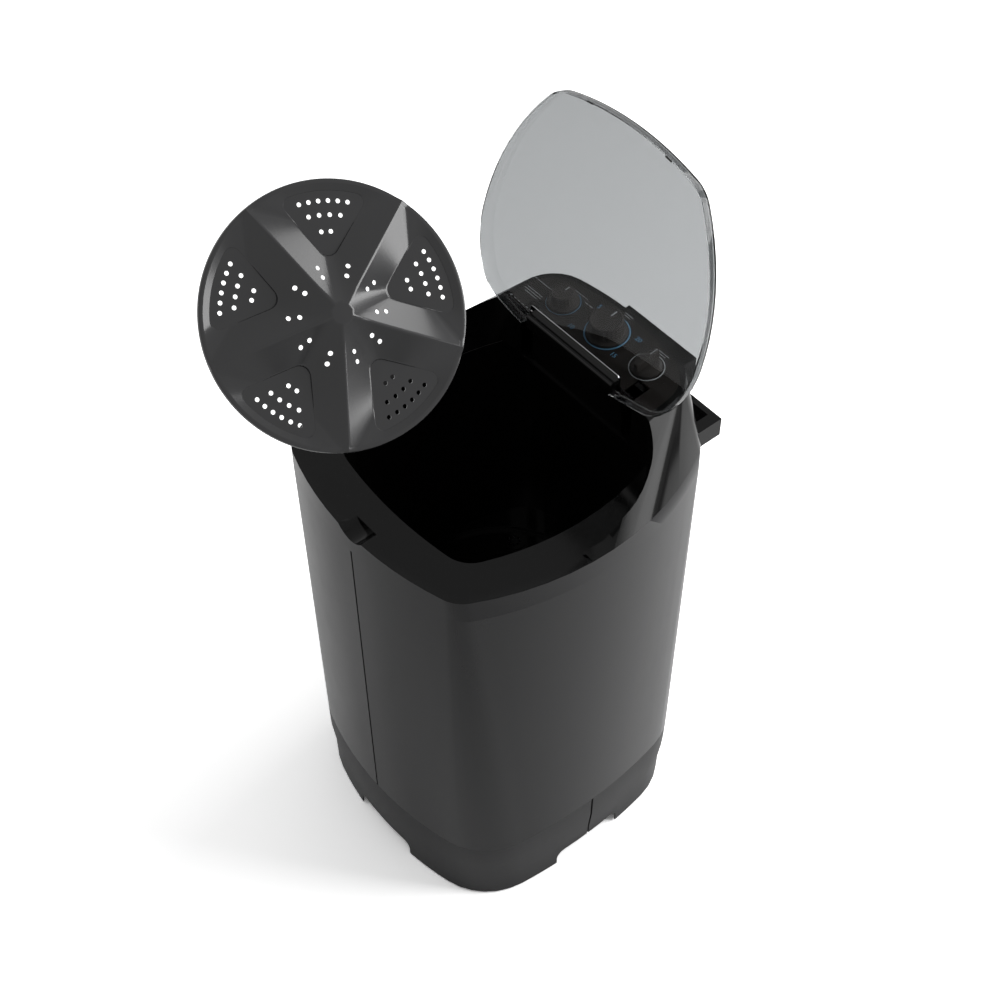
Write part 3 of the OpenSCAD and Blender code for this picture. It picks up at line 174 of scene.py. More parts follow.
# %% Metals, rubber and the rest
# Zinc plate on screws and clips: cool and slightly cloudy
zinc = mottle(*surface("zinc_plated_steel", "#9a9ca0", Metallic=1.0),
              "#8f9195", "#a6a8ab", 3, (0.28, 0.42))
# Ground steel of shafts and pins: bright, with a fine grain along the turning
ground_steel = mottle(*surface("ground_steel", "#c2c5c8", Metallic=1.0),
                      "#b9bcbf", "#cbced0", 1.2, (0.18, 0.3), 0.01, (1, 1, 0.1))
# Galvanised sheet: a grey patchwork of spangles
galvanised = mottle(*surface("galvanised_steel", "#8f9396", Metallic=1.0),
                    "#7f8386", "#a2a6a9", 9, (0.35, 0.55))
# Cast aluminium of the housing and pulleys: pale, dull and grainy
cast_aluminium = mottle(*surface("cast_aluminium", "#a9adb0", Metallic=1.0),
                        "#9da1a4", "#b4b8ba", 1.8, (0.42, 0.58), 0.06)
# Sintered bronze of the bushes: a brown gold with fine pores
bronze = mottle(*surface("sintered_bronze", "#b98a45", Metallic=1.0),
                "#a87a3a", "#c99a52", 0.8, (0.4, 0.55), 0.03)
# Black rubber of feet, seals and belt: matt, barely lighter at its edges
black_rubber = mottle(*surface("black_rubber", "#1c1c1c", Specular_IOR_Level=0.35),
                      "#181818", "#222222", 1.5, (0.6, 0.75), 0.05)
# Stove enamel of the motor: an even mid grey with a slight orange peel
motor_paint = mottle(*surface("grey_stove_enamel", "#6d7073"),
                     "#686b6e", "#737679", 4, (0.35, 0.45), 0.03)
# Phenolic of the switch and the timer: cream and a little chalky
cream_phenolic = mottle(*surface("cream_phenolic", "#c4bca6"),
                        "#bcb49d", "#ccc5b0", 3, (0.42, 0.52), 0.02)
# Nylon of the selector and the capacitor's can: off-white and waxy
pale_nylon = mottle(*surface("pale_nylon", "#d6d8d8"),
                    "#cfd1d1", "#dedfdf", 4, (0.38, 0.48), 0.02)
# Polypropylene of the drain: mid grey and waxy
grey_pp = mottle(*surface("grey_polypropylene", "#6a6c6e"),
                 "#646668", "#707274", 4, (0.38, 0.48), 0.03)
# Screen inks: flat white and light blue, a bit rougher than the panel
white_ink = mottle(*surface("white_screen_ink", "#e9edf0"),
                   "#e2e7ea", "#f0f3f5", 1.5, (0.4, 0.5))
blue_ink = mottle(*surface("blue_screen_ink", "#7fc4f0"),
                  "#78bce8", "#88ccf6", 1.5, (0.4, 0.5))
print("metals, rubber and inks:", 12)

# %% Hand the materials to the solids
WEAR_LIST = {
    polished_black: ["front_bar", "hose_holder", "hose_clip", "rear_handle"],
    base_plastic: ["service_cover", "drain_spigot"],
    black_rubber: ["foot_pads", "tub_gasket", "cord_gland", "lid_bumpers",
                   "shaft_seal", "drive_belt", "motor_mounts"],
    zinc: ["tub_screws", "cover_screws", "pulley_nut", "motor_bolts", "capacitor_clip"],
    ground_steel: ["lid_hinge_pins", "wash_selector_shaft", "timer_shaft", "drain_knob_shaft",
                   "drive_shaft", "motor_shaft", "pulsator_insert"],
    galvanised: ["bearing_plate", "motor_bracket"],
    cast_aluminium: ["bearing_housing", "large_pulley", "motor_pulley"],
    bronze: ["upper_bush", "lower_bush"],
    motor_paint: ["motor"],
    cream_phenolic: ["wash_selector_switch", "wash_timer"],
    pale_nylon: ["drain_selector", "capacitor"],
    grey_pp: ["drain_valve", "drain_pipe"],
    # The drain grille is stainless steel, but wears the tub's black plastic here: painted shade
    # for the deep floor of the tub where it sits
    tub_black: ["drain_plug", "drain_grille"],
}
for material, names in WEAR_LIST.items():
    for name in names:
        wear(name, material)
print("dressed solids:", sum(len(names) for names in WEAR_LIST.values()))

# %% [markdown]
# ## Shells with soft edges
#
# The base, cabinet, deck and tub are big shells whose solids have flat facets and knife-sharp
# edges. A copy of each is welded, its facets are merged, its edges are rounded by a bevel, and
# its bowed faces are shaded smooth, so that the light rolls over it as on a moulding. Normals
# weighted by area keep the large faces from shading like the small ones beside them.

# %% Helpers for pieces
SHARP_ANGLE = 35
FLAT_ANGLE = radians(0.4)


def alone(piece):
    """Selects one piece and nothing else."""
    bpy.ops.object.select_all(action="DESELECT")
    piece.select_set(True)
    bpy.context.view_layer.objects.active = piece


def soften(piece, bevel_mm=0.0, angle=SHARP_ANGLE):
    """Rounds a piece's sharp edges and shades the rest smooth."""
    alone(piece)
    if bevel_mm:
        bevel = piece.modifiers.new("edges", "BEVEL")
        bevel.width = bevel_mm / 1000
        bevel.segments = 2
        bevel.limit_method = "ANGLE"
        bevel.angle_limit = radians(angle)
        bevel.harden_normals = False
        bpy.ops.object.modifier_apply(modifier=bevel.name)
    bpy.ops.object.shade_smooth_by_angle(angle=radians(angle))
    weigh = piece.modifiers.new("weigh", "WEIGHTED_NORMAL")
    weigh.keep_sharp = True
    bpy.ops.object.modifier_apply(modifier=weigh.name)


def shell_copy(node, name, bevel_mm, weld_mm=0.02):
    """A welded copy of a solid, with rounded edges, that stands for it."""
    mesh = nodes[node].data.copy()
    piece = bpy.data.objects.new(name, mesh)
    bpy.context.scene.collection.objects.link(piece)
    alone(piece)
    if mesh.has_custom_normals:
        bpy.ops.mesh.customdata_custom_splitnormals_clear()
    bpy.ops.object.mode_set(mode="EDIT")
    bpy.ops.mesh.select_all(action="SELECT")
    bpy.ops.mesh.remove_doubles(threshold=weld_mm / 1000)
    bpy.ops.mesh.dissolve_limited(angle_limit=FLAT_ANGLE)
    bpy.ops.object.mode_set(mode="OBJECT")
    soften(piece, bevel_mm)
    print(name, len(piece.data.polygons), "faces")
    return piece


def settle(piece, body, slot, material, *replaced):
    """Puts a finished piece on its body, with its material and the nodes it stands for."""
    alone(piece)
    bpy.ops.object.transform_apply(location=True, rotation=True, scale=True)
    wear(piece, material)
    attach(piece, body)
    if replaced:
        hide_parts(*replaced)
    return piece


# %% The four shells
settle(shell_copy("base", "base_shell", 1.2), "chassis", "base", base_plastic, "base")
settle(shell_copy("cabinet", "cabinet_shell", 0.8), "chassis", "cabinet", satin_charcoal,
       "cabinet")
deck_shell = settle(shell_copy("deck", "deck_shell", 0.6), "chassis", "deck", polished_black,
                    "deck")
settle(shell_copy("wash_tub", "tub_shell", 1.0), "chassis", "wash_tub", tub_black, "wash_tub")

# %% The deck's outer skirt
# The skirt that laps the cabinet has the cabinet's satin finish: the faces below the rim, far
# from the middle, that look outwards
SKIRT_TOP, SKIRT_REACH, SKIRT_OUTWARD = 0.9445, 0.285, 0.5
deck_shell.data.materials.append(satin_charcoal)
for face in deck_shell.data.polygons:
    spot = face.center
    facing = spot.xy.normalized().dot(face.normal.xy)
    if spot.xy.length > SKIRT_REACH and facing > SKIRT_OUTWARD and spot.z < SKIRT_TOP:
        face.material_index = 1
print("skirt faces:", sum(face.material_index for face in deck_shell.data.polygons))

# %% [markdown]
# ## The smoked lid
#
# The lid is a shallow tray of clear smoked plastic: a flat plate with a turned edge. It starts
# as a circle that is pulled to the lid's bowed outline; its edge is then extruded ring by ring
# around the section of the tray, and both ends are closed.

# %% Outlines


def arc(centre, radius, start, end, steps):
    """Points along an arc; angles in radians."""
    return [(centre[0] + radius * cos(start + (end - start) * i / steps),
             centre[1] + radius * sin(start + (end - start) * i / steps))
            for i in range(steps + 1)]


def quarter(a, b, side, front, corner, steps=10):
    """The front right quarter of a bowed rectangle, from the middle of its front to its side.
    Its half width and half depth are a and b; the other sizes are the radii of its side, its
    front and the corner that joins them."""
    side_centre, front_centre = (a - side, 0), (0, front - b)
    reach_1, reach_2 = side - corner, front - corner
    dx, dy = front_centre[0] - side_centre[0], front_centre[1] - side_centre[1]
    d = hypot(dx, dy)
    t = (d * d + reach_1 ** 2 - reach_2 ** 2) / (2 * d)
    h = sqrt(max(reach_1 ** 2 - t * t, 0))
    ux, uy = dx / d, dy / d
    spots = [(side_centre[0] + t * ux + s * h * uy, side_centre[1] + t * uy - s * h * ux)
             for s in (1, -1)]
    c = max(spots, key=lambda p: p[0] - p[1])
    side_angle = atan2(c[1] - side_centre[1], c[0] - side_centre[0])
    front_angle = atan2(c[1] - front_centre[1], c[0] - front_centre[0])
    return (arc(front_centre, front, -pi / 2, front_angle, steps)[:-1]
            + arc(c, corner, front_angle, side_angle, steps)[:-1]
            + arc(side_centre, side, side_angle, 0, steps))


def bowed(front, rear, grow, middle_y):
    """A whole bowed outline from its front and rear sizes, grown by a margin."""
    f, r = quarter(*[v + grow for v in front]), quarter(*[v + grow for v in rear])
    points = (f[:-1] + [(x, -y) for x, y in reversed(r)][:-1] + [(-x, -y) for x, y in r][:-1]
              + [(-x, y) for x, y in reversed(f)][:-1])
    return [(x, y + middle_y) for x, y in points]


def place_ring(piece, sources, points):
    """Moves the selected points, which lie at the sources, to their new places."""
    mesh = bmesh.from_edit_mesh(piece.data)
    chosen = [v for v in mesh.verts if v.select]
    tree = KDTree(len(chosen))
    for i, vertex in enumerate(chosen):
        tree.insert(vertex.co, i)
    tree.balance()
    found = [chosen[tree.find(source)[1]] for source in sources]
    for vertex, point in zip(found, points):
        vertex.co = point
    bmesh.update_edit_mesh(piece.data)


def loft(name, rings, ends=(True, True)):
    """Starts from a circle pulled to the first ring, and extrudes its edge from ring to ring.
    The rings have equally many points. Each end is filled or left open."""
    bpy.ops.object.select_all(action="DESELECT")
    bpy.ops.mesh.primitive_circle_add(vertices=len(rings[0]), radius=1,
                                      fill_type="NGON" if ends[0] else "NOTHING")
    piece = bpy.context.object
    piece.name = piece.data.name = name
    for vertex, point in zip(piece.data.vertices, rings[0]):
        vertex.co = point
    bpy.ops.object.mode_set(mode="EDIT")
    bpy.ops.mesh.select_mode(type="EDGE")
    bpy.ops.mesh.select_all(action="DESELECT")
    bpy.ops.mesh.select_non_manifold(extend=False)
    for previous, ring in zip(rings, rings[1:]):
        bpy.ops.mesh.extrude_edges_move()
        place_ring(piece, previous, ring)
    if ends[1]:
        bpy.ops.mesh.edge_face_add()
    bpy.ops.mesh.select_all(action="SELECT")
    bpy.ops.mesh.normals_make_consistent(inside=False)
    bpy.ops.object.mode_set(mode="OBJECT")
    return piece


# %% Lid tray
# Half width, half depth and the radii of side, front or rear, and corner
LID_FRONT = (0.262, 0.296, 0.426, 0.564, 0.065)
LID_REAR = (0.262, 0.156, 0.190, 0.900, 0.070)
LID_MIDDLE_Y = 0.017
LID_TOP, LID_PLATE, LID_EDGE, LID_WALL = 0.960, 0.003, 0.015, 0.003
LID_COVE, LID_COVE_MIDDLE, LID_LIP = 0.004, 0.0012, 0.0005
LID_ROLL = [(0, 0.005), (0.0008, 0.0018), (0.002, 0.0006), (0.005, 0)]
HINGE = Vector((0, 0.200, 1.006))
OPEN_ANGLE = radians(-106)


def lid_ring(grow, z):
    """The lid's outline at one height, grown by a margin."""
    return [(x, y, z) for x, y in bowed(LID_FRONT, LID_REAR, grow, LID_MIDDLE_Y)]


under, low = LID_TOP - LID_PLATE, LID_TOP - LID_PLATE - LID_EDGE
inner_rings = [(-LID_WALL - LID_COVE, under),
               (-LID_WALL - LID_COVE_MIDDLE, under - LID_COVE_MIDDLE),
               (-LID_WALL, under - LID_COVE), (-LID_WALL, low + LID_LIP),
               (-LID_WALL + LID_LIP, low), (-LID_LIP, low), (0, low + LID_LIP)]
outer_rings = [(-inset, LID_TOP - drop) for inset, drop in LID_ROLL]
tray = loft("lid_tray", [lid_ring(grow, z) for grow, z in inner_rings + outer_rings])
opened = (Matrix.Translation(HINGE) @ Matrix.Rotation(OPEN_ANGLE, 4, "X")
          @ Matrix.Translation(-HINGE))
print("lid tray:", len(tray.data.polygons), "faces")


# %% Cutting by another piece


def cut(piece, cutter):
    """Takes one piece's shape out of another, then removes the cutter."""
    alone(piece)
    change = piece.modifiers.new("cut", "BOOLEAN")
    change.object = cutter
    change.operation = "DIFFERENCE"
    change.solver = "EXACT"
    bpy.ops.object.modifier_apply(modifier=change.name)
    bpy.data.objects.remove(cutter)


def block(name, low_corner, high_corner, bevel_mm=0.0, segments=3):
    """A box between two corners, with rounded edges."""
    bpy.ops.object.select_all(action="DESELECT")
    middle = [(a + b) / 2 for a, b in zip(low_corner, high_corner)]
    bpy.ops.mesh.primitive_cube_add(size=1, location=middle)
    piece = bpy.context.object
    piece.name = piece.data.name = name
    piece.scale = [b - a for a, b in zip(low_corner, high_corner)]
    bpy.ops.object.transform_apply(location=True, rotation=True, scale=True)
    if bevel_mm:
        bpy.ops.object.mode_set(mode="EDIT")
        bpy.ops.mesh.select_all(action="SELECT")
        bpy.ops.mesh.bevel(offset=bevel_mm / 1000, segments=segments)
        bpy.ops.object.mode_set(mode="OBJECT")
        bpy.ops.object.shade_smooth_by_angle(angle=radians(SHARP_ANGLE))
    return piece


def joined(name, pieces):
    """Makes one piece of several."""
    bpy.ops.object.select_all(action="DESELECT")
    for piece in pieces:
        piece.select_set(True)
    bpy.context.view_layer.objects.active = pieces[0]
    bpy.ops.object.join()
    pieces[0].name = pieces[0].data.name = name
    return pieces[0]


# %% Notch and ears of the lid
# Each ear climbs from the tray's rear edge to a knuckle on the hinge's axis
NOTCH_HALF, NOTCH_FRONT, NOTCH_REAR, NOTCH_LOW, NOTCH_TOP = 0.112, 0.133, 0.20, 0.93, 0.98
EAR_X, EAR_HALF, EAR_FRONT, EAR_REAR, EAR_TOP = 0.130, 0.012, 0.150, 0.172, 0.9605
EAR_CLIMB, KNUCKLE_R = (0, 0.022, 0.036), 0.009
cut(tray, block("notch", (-NOTCH_HALF, NOTCH_FRONT, NOTCH_LOW),
                (NOTCH_HALF, NOTCH_REAR, NOTCH_TOP), 4))
ears = []
for side in (-1, 1):
    middle = side * EAR_X
    ear = block("ear", (middle - EAR_HALF, EAR_FRONT, under),
                (middle + EAR_HALF, EAR_REAR, EAR_TOP), 1)
    bpy.ops.object.mode_set(mode="EDIT")
    bpy.ops.mesh.select_all(action="DESELECT")
    mesh = bmesh.from_edit_mesh(ear.data)
    for face in mesh.faces:
        face.select = face.normal.y > 0.99
    bmesh.update_edit_mesh(ear.data)
    bpy.ops.mesh.extrude_region_move(TRANSFORM_OT_translate={"value": EAR_CLIMB})
    bpy.ops.object.mode_set(mode="OBJECT")
    bpy.ops.mesh.primitive_cylinder_add(vertices=40, radius=KNUCKLE_R, depth=2 * EAR_HALF,
                                        location=(middle, HINGE.y, HINGE.z),
                                        rotation=(0, pi / 2, 0))
    knuckle = bpy.context.object
    bpy.ops.object.transform_apply(location=True, rotation=True, scale=True)
    soften(knuckle, 0.8)
    ears += [ear, knuckle]
lid = joined("smoked_lid", [tray] + ears)
lid.data.transform(opened)
soften(lid)
settle(lid, "lid_assembly", "lid", smoked, "lid")
print("lid:", len(lid.data.polygons), "faces")

# %% [markdown]
# ## The pulsator disc
#
# Five broad ribs fall from the hub to the rim, with a flat perforated sector between each two.
# Each sector starts as a circle pulled to the sector's rounded outline, and its edge is
# extruded outwards in rings that climb to the crests of the ribs and to the rim. The wall gets
# its thickness, and the holes are cut last.

# %% Disc sizes
DISC_R, RIM_R, SECTOR_R, HUB_R = 0.195, 0.1885, 0.178, 0.014
HUB_Z, CREST_Z, CREST_END_Z, RIM_Z = 0.047, 0.045, 0.009, 0.005
EDGE_OFFSET, TIP_ROUNDING, CORNER_ROUNDING = 0.044, 0.016, 0.012
HALF_PITCH = radians(36)
SECTOR_MIDDLE = Vector((0.125, 0))
SECTOR_ANGLES = [94 + 72 * k for k in range(5)]
DISC_PLACE = (Matrix.Translation((0.022, -0.314, 1.451)) @ Matrix.Rotation(radians(-12.9), 4, "Z")
              @ Matrix.Rotation(radians(44.6), 4, "Y"))


def fillet(before, corner, after, radius, steps=6):
    """Points of a rounding between two straight edges."""
    a, b = (before - corner).normalized(), (after - corner).normalized()
    half = a.angle(b) / 2
    centre = corner + (a + b).normalized() * radius / sin(half)
    start = corner + a * radius / sin(half) * cos(half) - centre
    end = corner + b * radius / sin(half) * cos(half) - centre
    return [centre + start.lerp(end, i / steps).normalized() * radius for i in range(steps + 1)]


def evenly(points, count):
    """The same line as count equal steps."""
    lengths = [0]
    for p, q in zip(points, points[1:]):
        lengths.append(lengths[-1] + (q - p).length)
    result, k = [], 0
    for i in range(count + 1):
        want = lengths[-1] * i / count
        while k < len(lengths) - 2 and lengths[k + 1] < want:
            k += 1
        result.append(points[k].lerp(points[k + 1], (want - lengths[k])
                                     / (lengths[k + 1] - lengths[k])))
    return result


def half_sector(edge, outer, apex_radius, corner_radius):
    """Half of a sector's outline about +X: from its tip, along its edge, to its rim."""
    apex = Vector((edge / sin(HALF_PITCH), 0))
    reach = sqrt(outer ** 2 - edge ** 2)
    corner = Vector((cos(HALF_PITCH), -sin(HALF_PITCH))) * reach \
        + Vector((sin(HALF_PITCH), cos(HALF_PITCH))) * edge
    other = Vector((corner.x, -corner.y))
    swing = atan2(-corner.y, corner.x)
    rim = [Vector((outer * cos(a), outer * sin(a)))
           for a in [-swing + swing * i / 16 for i in range(17)]]
    tip = fillet(other, apex, corner, apex_radius, 10)[5:]
    return tip + fillet(apex, corner, rim[4], corner_radius) + rim[4:]


half_line = evenly(half_sector(EDGE_OFFSET, SECTOR_R, TIP_ROUNDING, CORNER_ROUNDING), 40)
sector_line = half_line + [Vector((p.x, -p.y)) for p in half_line[-2:0:-1]]
print("sector outline:", len(sector_line), "points")

# %% The border of the cell around a sector: two crests, the rim and the hub


def crest_height(r):
    """A crest falls from the hub to the rim."""
    return CREST_Z + (CREST_END_Z - CREST_Z) * max(r - HUB_R, 0) / (RIM_R - HUB_R)


def to_border(point):
    """Where a ray from the sector's middle through a point meets the cell's border."""
    middle = SECTOR_MIDDLE
    way = (point - middle).normalized()
    hits = []
    for side in (-1, 1):
        u = Vector((cos(HALF_PITCH), side * sin(HALF_PITCH)))
        across = way.x * u.y - way.y * u.x
        if abs(across) > 1e-9:
            t = (u.x * middle.y - u.y * middle.x) / across
            spot = middle + way * t
            if t > 0 and spot.dot(u) > HUB_R:
                hits.append((t, spot, crest_height(spot.length)))
    for radius, height in ((RIM_R, RIM_Z), (HUB_R, HUB_Z)):
        b = middle.dot(way)
        inside = b * b - middle.length_squared + radius ** 2
        for root in ([-1, 1] if inside > 0 else []):
            t = -b + root * sqrt(inside)
            if t > 0:
                hits.append((t, middle + way * t, height))
    return min(hits, key=lambda hit: hit[0])[1:]


borders = [to_border(p) for p in sector_line]
for side in (-1, 1):
    for radius, height in ((RIM_R, CREST_END_Z), (HUB_R, HUB_Z)):
        corner = Vector((radius * cos(HALF_PITCH), side * radius * sin(HALF_PITCH)))
        nearest = min(range(len(borders)), key=lambda i: (borders[i][0] - corner).length)
        borders[nearest] = (corner, height)

# %% Five cells make the disc's face
# How far each ring has come from sector to border, and how far it has climbed
SLOPE = [(0.02, 0.075), (0.035, 0.085), (0.06, 0.095), (0.93, 0.96), (0.97, 0.985), (1, 1)]
cells = []
for k, angle in enumerate(SECTOR_ANGLES):
    rings = [[(p.x, p.y, 0) for p in sector_line]]
    for share, rise in SLOPE:
        rings.append([(p.x + (q.x - p.x) * share, p.y + (q.y - p.y) * share, h * rise)
                      for p, (q, h) in zip(sector_line, borders)])
    cell = loft(f"cell_{k}", rings, ends=(True, False))
    cell.data.transform(Matrix.Rotation(radians(angle), 4, "Z"))
    cells.append(cell)
disc = joined("pulsator_face", cells)

# %% The hub is closed and the rim is turned down
# Radius, share of the height kept and drop of each ring at the rim
RIM_RINGS = ((0.1915, 1, 0.0), (0.1940, 0.8, 0.0), (DISC_R, 0.3, -0.001), (DISC_R, 0, -0.002))
NEAR_HUB = 0.05
alone(disc)
bpy.ops.object.mode_set(mode="EDIT")
bpy.ops.mesh.select_all(action="SELECT")
bpy.ops.mesh.remove_doubles(threshold=0.0002)
bpy.ops.mesh.normals_make_consistent(inside=False)
bpy.ops.mesh.select_mode(type="EDGE")
for hub in (True, False):
    bpy.ops.mesh.select_all(action="DESELECT")
    mesh = bmesh.from_edit_mesh(disc.data)
    for edge in mesh.edges:
        far = max(v.co.xy.length for v in edge.verts)
        edge.select = edge.is_boundary and (far < NEAR_HUB) == hub
    bmesh.update_edit_mesh(disc.data)
    if hub:
        bpy.ops.mesh.edge_face_add()
        continue
    for radius, share, drop in RIM_RINGS:
        bpy.ops.mesh.extrude_edges_move()
        mesh = bmesh.from_edit_mesh(disc.data)
        for vertex in [v for v in mesh.verts if v.select]:
            spot = vertex.co.xy.normalized() * radius
            vertex.co = (spot.x, spot.y, vertex.co.z * share + drop)
        bmesh.update_edit_mesh(disc.data)
bpy.ops.object.mode_set(mode="OBJECT")
print("disc face:", len(disc.data.polygons), "faces")

# %% Thickness and holes
# Each row of a sector's holes: how many, their radius from the axis and their step in degrees
HOLE_ROWS = ((6, 0.1635, 5), (4, 0.1435, 6.2), (2, 0.120, 6.6))
INNER_HOLES, INNER_TURN = (0.056, 0.071), 18
DISC_WALL, HOLE_R = 0.0028, 0.0034
wall = disc.modifiers.new("wall", "SOLIDIFY")
wall.thickness = DISC_WALL
wall.offset = -1
alone(disc)
if disc.data.polygons[0].normal.z < 0:
    disc.data.flip_normals()
bpy.ops.object.modifier_apply(modifier=wall.name)
bpy.ops.mesh.primitive_cylinder_add(vertices=14, radius=HOLE_R, depth=0.16)
drill = bpy.context.object
drill.name = "drill"
drills = []
for angle in SECTOR_ANGLES:
    spots = [(radius, (i - (count - 1) / 2) * step)
             for count, radius, step in HOLE_ROWS for i in range(count)]
    spots += [(radius, side * INNER_TURN) for radius in INNER_HOLES for side in (-1, 1)]
    for radius, turn in spots:
        a = radians(angle + turn)
        copy = drill.copy()
        copy.data = drill.data.copy()
        bpy.context.scene.collection.objects.link(copy)
        copy.location = (radius * cos(a), radius * sin(a), 0)
        drills.append(copy)
bpy.data.objects.remove(drill)
cutter = joined("drills", drills)
bpy.ops.object.transform_apply(location=True, rotation=True, scale=True)
cut(disc, cutter)
soften(disc, angle=28)
disc.data.transform(DISC_PLACE)
settle(disc, "pulsator", "pulsator_disc", disc_grey, "pulsator_disc")
print("disc:", len(disc.data.polygons), "faces,", len(drills), "holes")

# %% [markdown]
# ## The knobs
#
# Each knob is turned up from a circle too: its skirt, its fluted side and its dished top are
# rings of one loft. The flutes come from a radius that waves around the knob.

# %% Knob helpers
PANEL_MIDDLE, TILT = (0, 0.2477, 1.056), radians(5.4)
# The knobs' axes on the panel
TIMER, WASH, DRAIN = (0, 0), (-0.105, -0.0077), (0.1045, -0.0042)
KNOB_POINTS = 96


def on_console(x, y):
    """The frame on the console's panel, moved to a place on it."""
    return (Matrix.Translation(PANEL_MIDDLE) @ Matrix.Rotation(TILT, 4, "X")
            @ Matrix.Translation((x, y, 0)))


def turned(name, profile, flutes=0, depth=0.0):
    """A knob from a profile of radius, height and share of the flutes' depth."""
    rings = []
    for radius, z, share in profile:
        ring = []
        for i in range(KNOB_POINTS):
            a = 2 * pi * i / KNOB_POINTS
            r = radius - depth * share * (0.5 + 0.5 * cos(flutes * a))
            ring.append((r * cos(a), r * sin(a), z))
        rings.append(ring)
    piece = loft(name, rings)
    soften(piece, angle=50)
    return piece


def seat(knob, mark, spot, body, node):
    """Puts a knob and the line printed on its top in place; both turn with the knob's body."""
    for piece in (mark, knob):
        piece.data.transform(on_console(*spot))
    settle(knob, body, node, knob_grey, node)
    settle(mark, body, "dial_rings", white_ink)


# %% Three knobs
timer_knob = turned("timer_knob_piece", [
    (0.0360, 0.0012, 0), (0.0370, 0.0020, 0), (0.0370, 0.0052, 0), (0.0362, 0.0062, 0),
    (0.0318, 0.0066, 0), (0.0312, 0.0078, 1), (0.0304, 0.0300, 1), (0.0298, 0.0322, 0.6),
    (0.0284, 0.0337, 0.2), (0.0270, 0.0340, 0), (0.0252, 0.0336, 0), (0.0244, 0.0330, 0),
    (0.0100, 0.0328, 0)], 24, 0.0014)
timer_mark = block("timer_mark", (-0.0011, 0.010, 0.0325), (0.0011, 0.0238, 0.0337), 0.4)
seat(timer_knob, timer_mark, TIMER, "timer", "timer_knob")

wash_knob = turned("wash_selector_piece", [
    (0.0280, 0.0012, 0), (0.0290, 0.0020, 0), (0.0290, 0.0050, 0), (0.0282, 0.0060, 0),
    (0.0222, 0.0066, 0), (0.0216, 0.0078, 1), (0.0210, 0.0230, 1), (0.0205, 0.0248, 0.6),
    (0.0194, 0.0258, 0.2), (0.0182, 0.0260, 0), (0.0166, 0.0255, 0), (0.0080, 0.0252, 0)],
    18, 0.0012)
wash_mark = block("wash_mark", (-0.0009, 0.006, 0.0249), (0.0009, 0.0160, 0.0259), 0.3)
seat(wash_knob, wash_mark, WASH, "wash_selector", "wash_selector_knob")

drain_skirt = turned("drain_knob_piece", [
    (0.0260, 0.0012, 0), (0.0270, 0.0020, 0), (0.0270, 0.0050, 0), (0.0262, 0.0060, 0),
    (0.0225, 0.0072, 0), (0.0205, 0.0085, 0), (0.0080, 0.0090, 0)])
grip = block("grip", (-0.0045, -0.0262, 0.0060), (0.0045, 0.0262, 0.0258), 2.0, 4)
drain_knob = joined("drain_knob_piece", [drain_skirt, grip])
drain_mark = block("drain_mark", (-0.0007, 0.008, 0.0256), (0.0007, 0.0245, 0.0260), 0.15)
seat(drain_knob, drain_mark, DRAIN, "drain_control", "drain_knob")
print("knobs:", 3)

# %% [markdown]
# ## The console's print
#
# The panel is dark, with plain scales printed around the knobs: rings, a few numbers and short
# dashes. They are thin plates that lie on the panel.

# %% Panel and print
PRINT_LOW, PRINT_TOP, RING_HEIGHT, DASH_WIDTH = 0.0001, 0.0004, 0.0012, 0.0011
NUMBER_SIZE, NUMBER_HALF, NUMBER_Z = 0.013, 0.00015, 0.0003
# Brown-black ABS of the panel: smooth, and warmer than the deck around it
panel_black = mottle(*surface("panel_brown_black_abs", "#322e2b", Specular_IOR_Level=0.1),
                     "#302c29", "#35312e", 20, (0.14, 0.2), 0.01)
wear("console_panel", panel_black)


def dash(x, y, length):
    """A thin printed bar on the panel."""
    bar = block("dash", (-length / 2, -DASH_WIDTH / 2, PRINT_LOW),
                (length / 2, DASH_WIDTH / 2, PRINT_TOP))
    bar.data.transform(on_console(x, y))
    return bar


def number(text, x, y):
    """A plain printed number on the panel."""
    bpy.ops.object.select_all(action="DESELECT")
    bpy.ops.object.text_add()
    piece = bpy.context.object
    piece.data.body = text
    piece.data.size = NUMBER_SIZE
    piece.data.align_x = "CENTER"
    piece.data.align_y = "CENTER"
    piece.data.extrude = NUMBER_HALF
    bpy.ops.object.convert(target="MESH")
    piece.data.transform(on_console(x, y) @ Matrix.Translation((0, 0, NUMBER_Z)))
    return piece


def dial_ring(x, y, radius, width):
    """A printed ring around a knob, a little proud of the panel."""
    bpy.ops.object.select_all(action="DESELECT")
    bpy.ops.mesh.primitive_torus_add(major_radius=radius, minor_radius=width / 2,
                                     major_segments=96, minor_segments=12)
    ring = bpy.context.object
    ring.name = ring.data.name = "dial_ring"
    ring.scale.z = RING_HEIGHT / width
    bpy.ops.object.transform_apply(location=True, rotation=True, scale=True)
    soften(ring)
    ring.data.transform(on_console(x, y))
    return ring


settle(dial_ring(*TIMER, 0.0393, 0.0028), "chassis", "dial_rings", blue_ink, "dial_rings")
settle(dial_ring(*DRAIN, 0.0304, 0.0020), "chassis", "dial_rings", white_ink)
settle(dial_ring(*WASH, 0.0307, 0.0010), "chassis", "dial_rings", blue_ink)

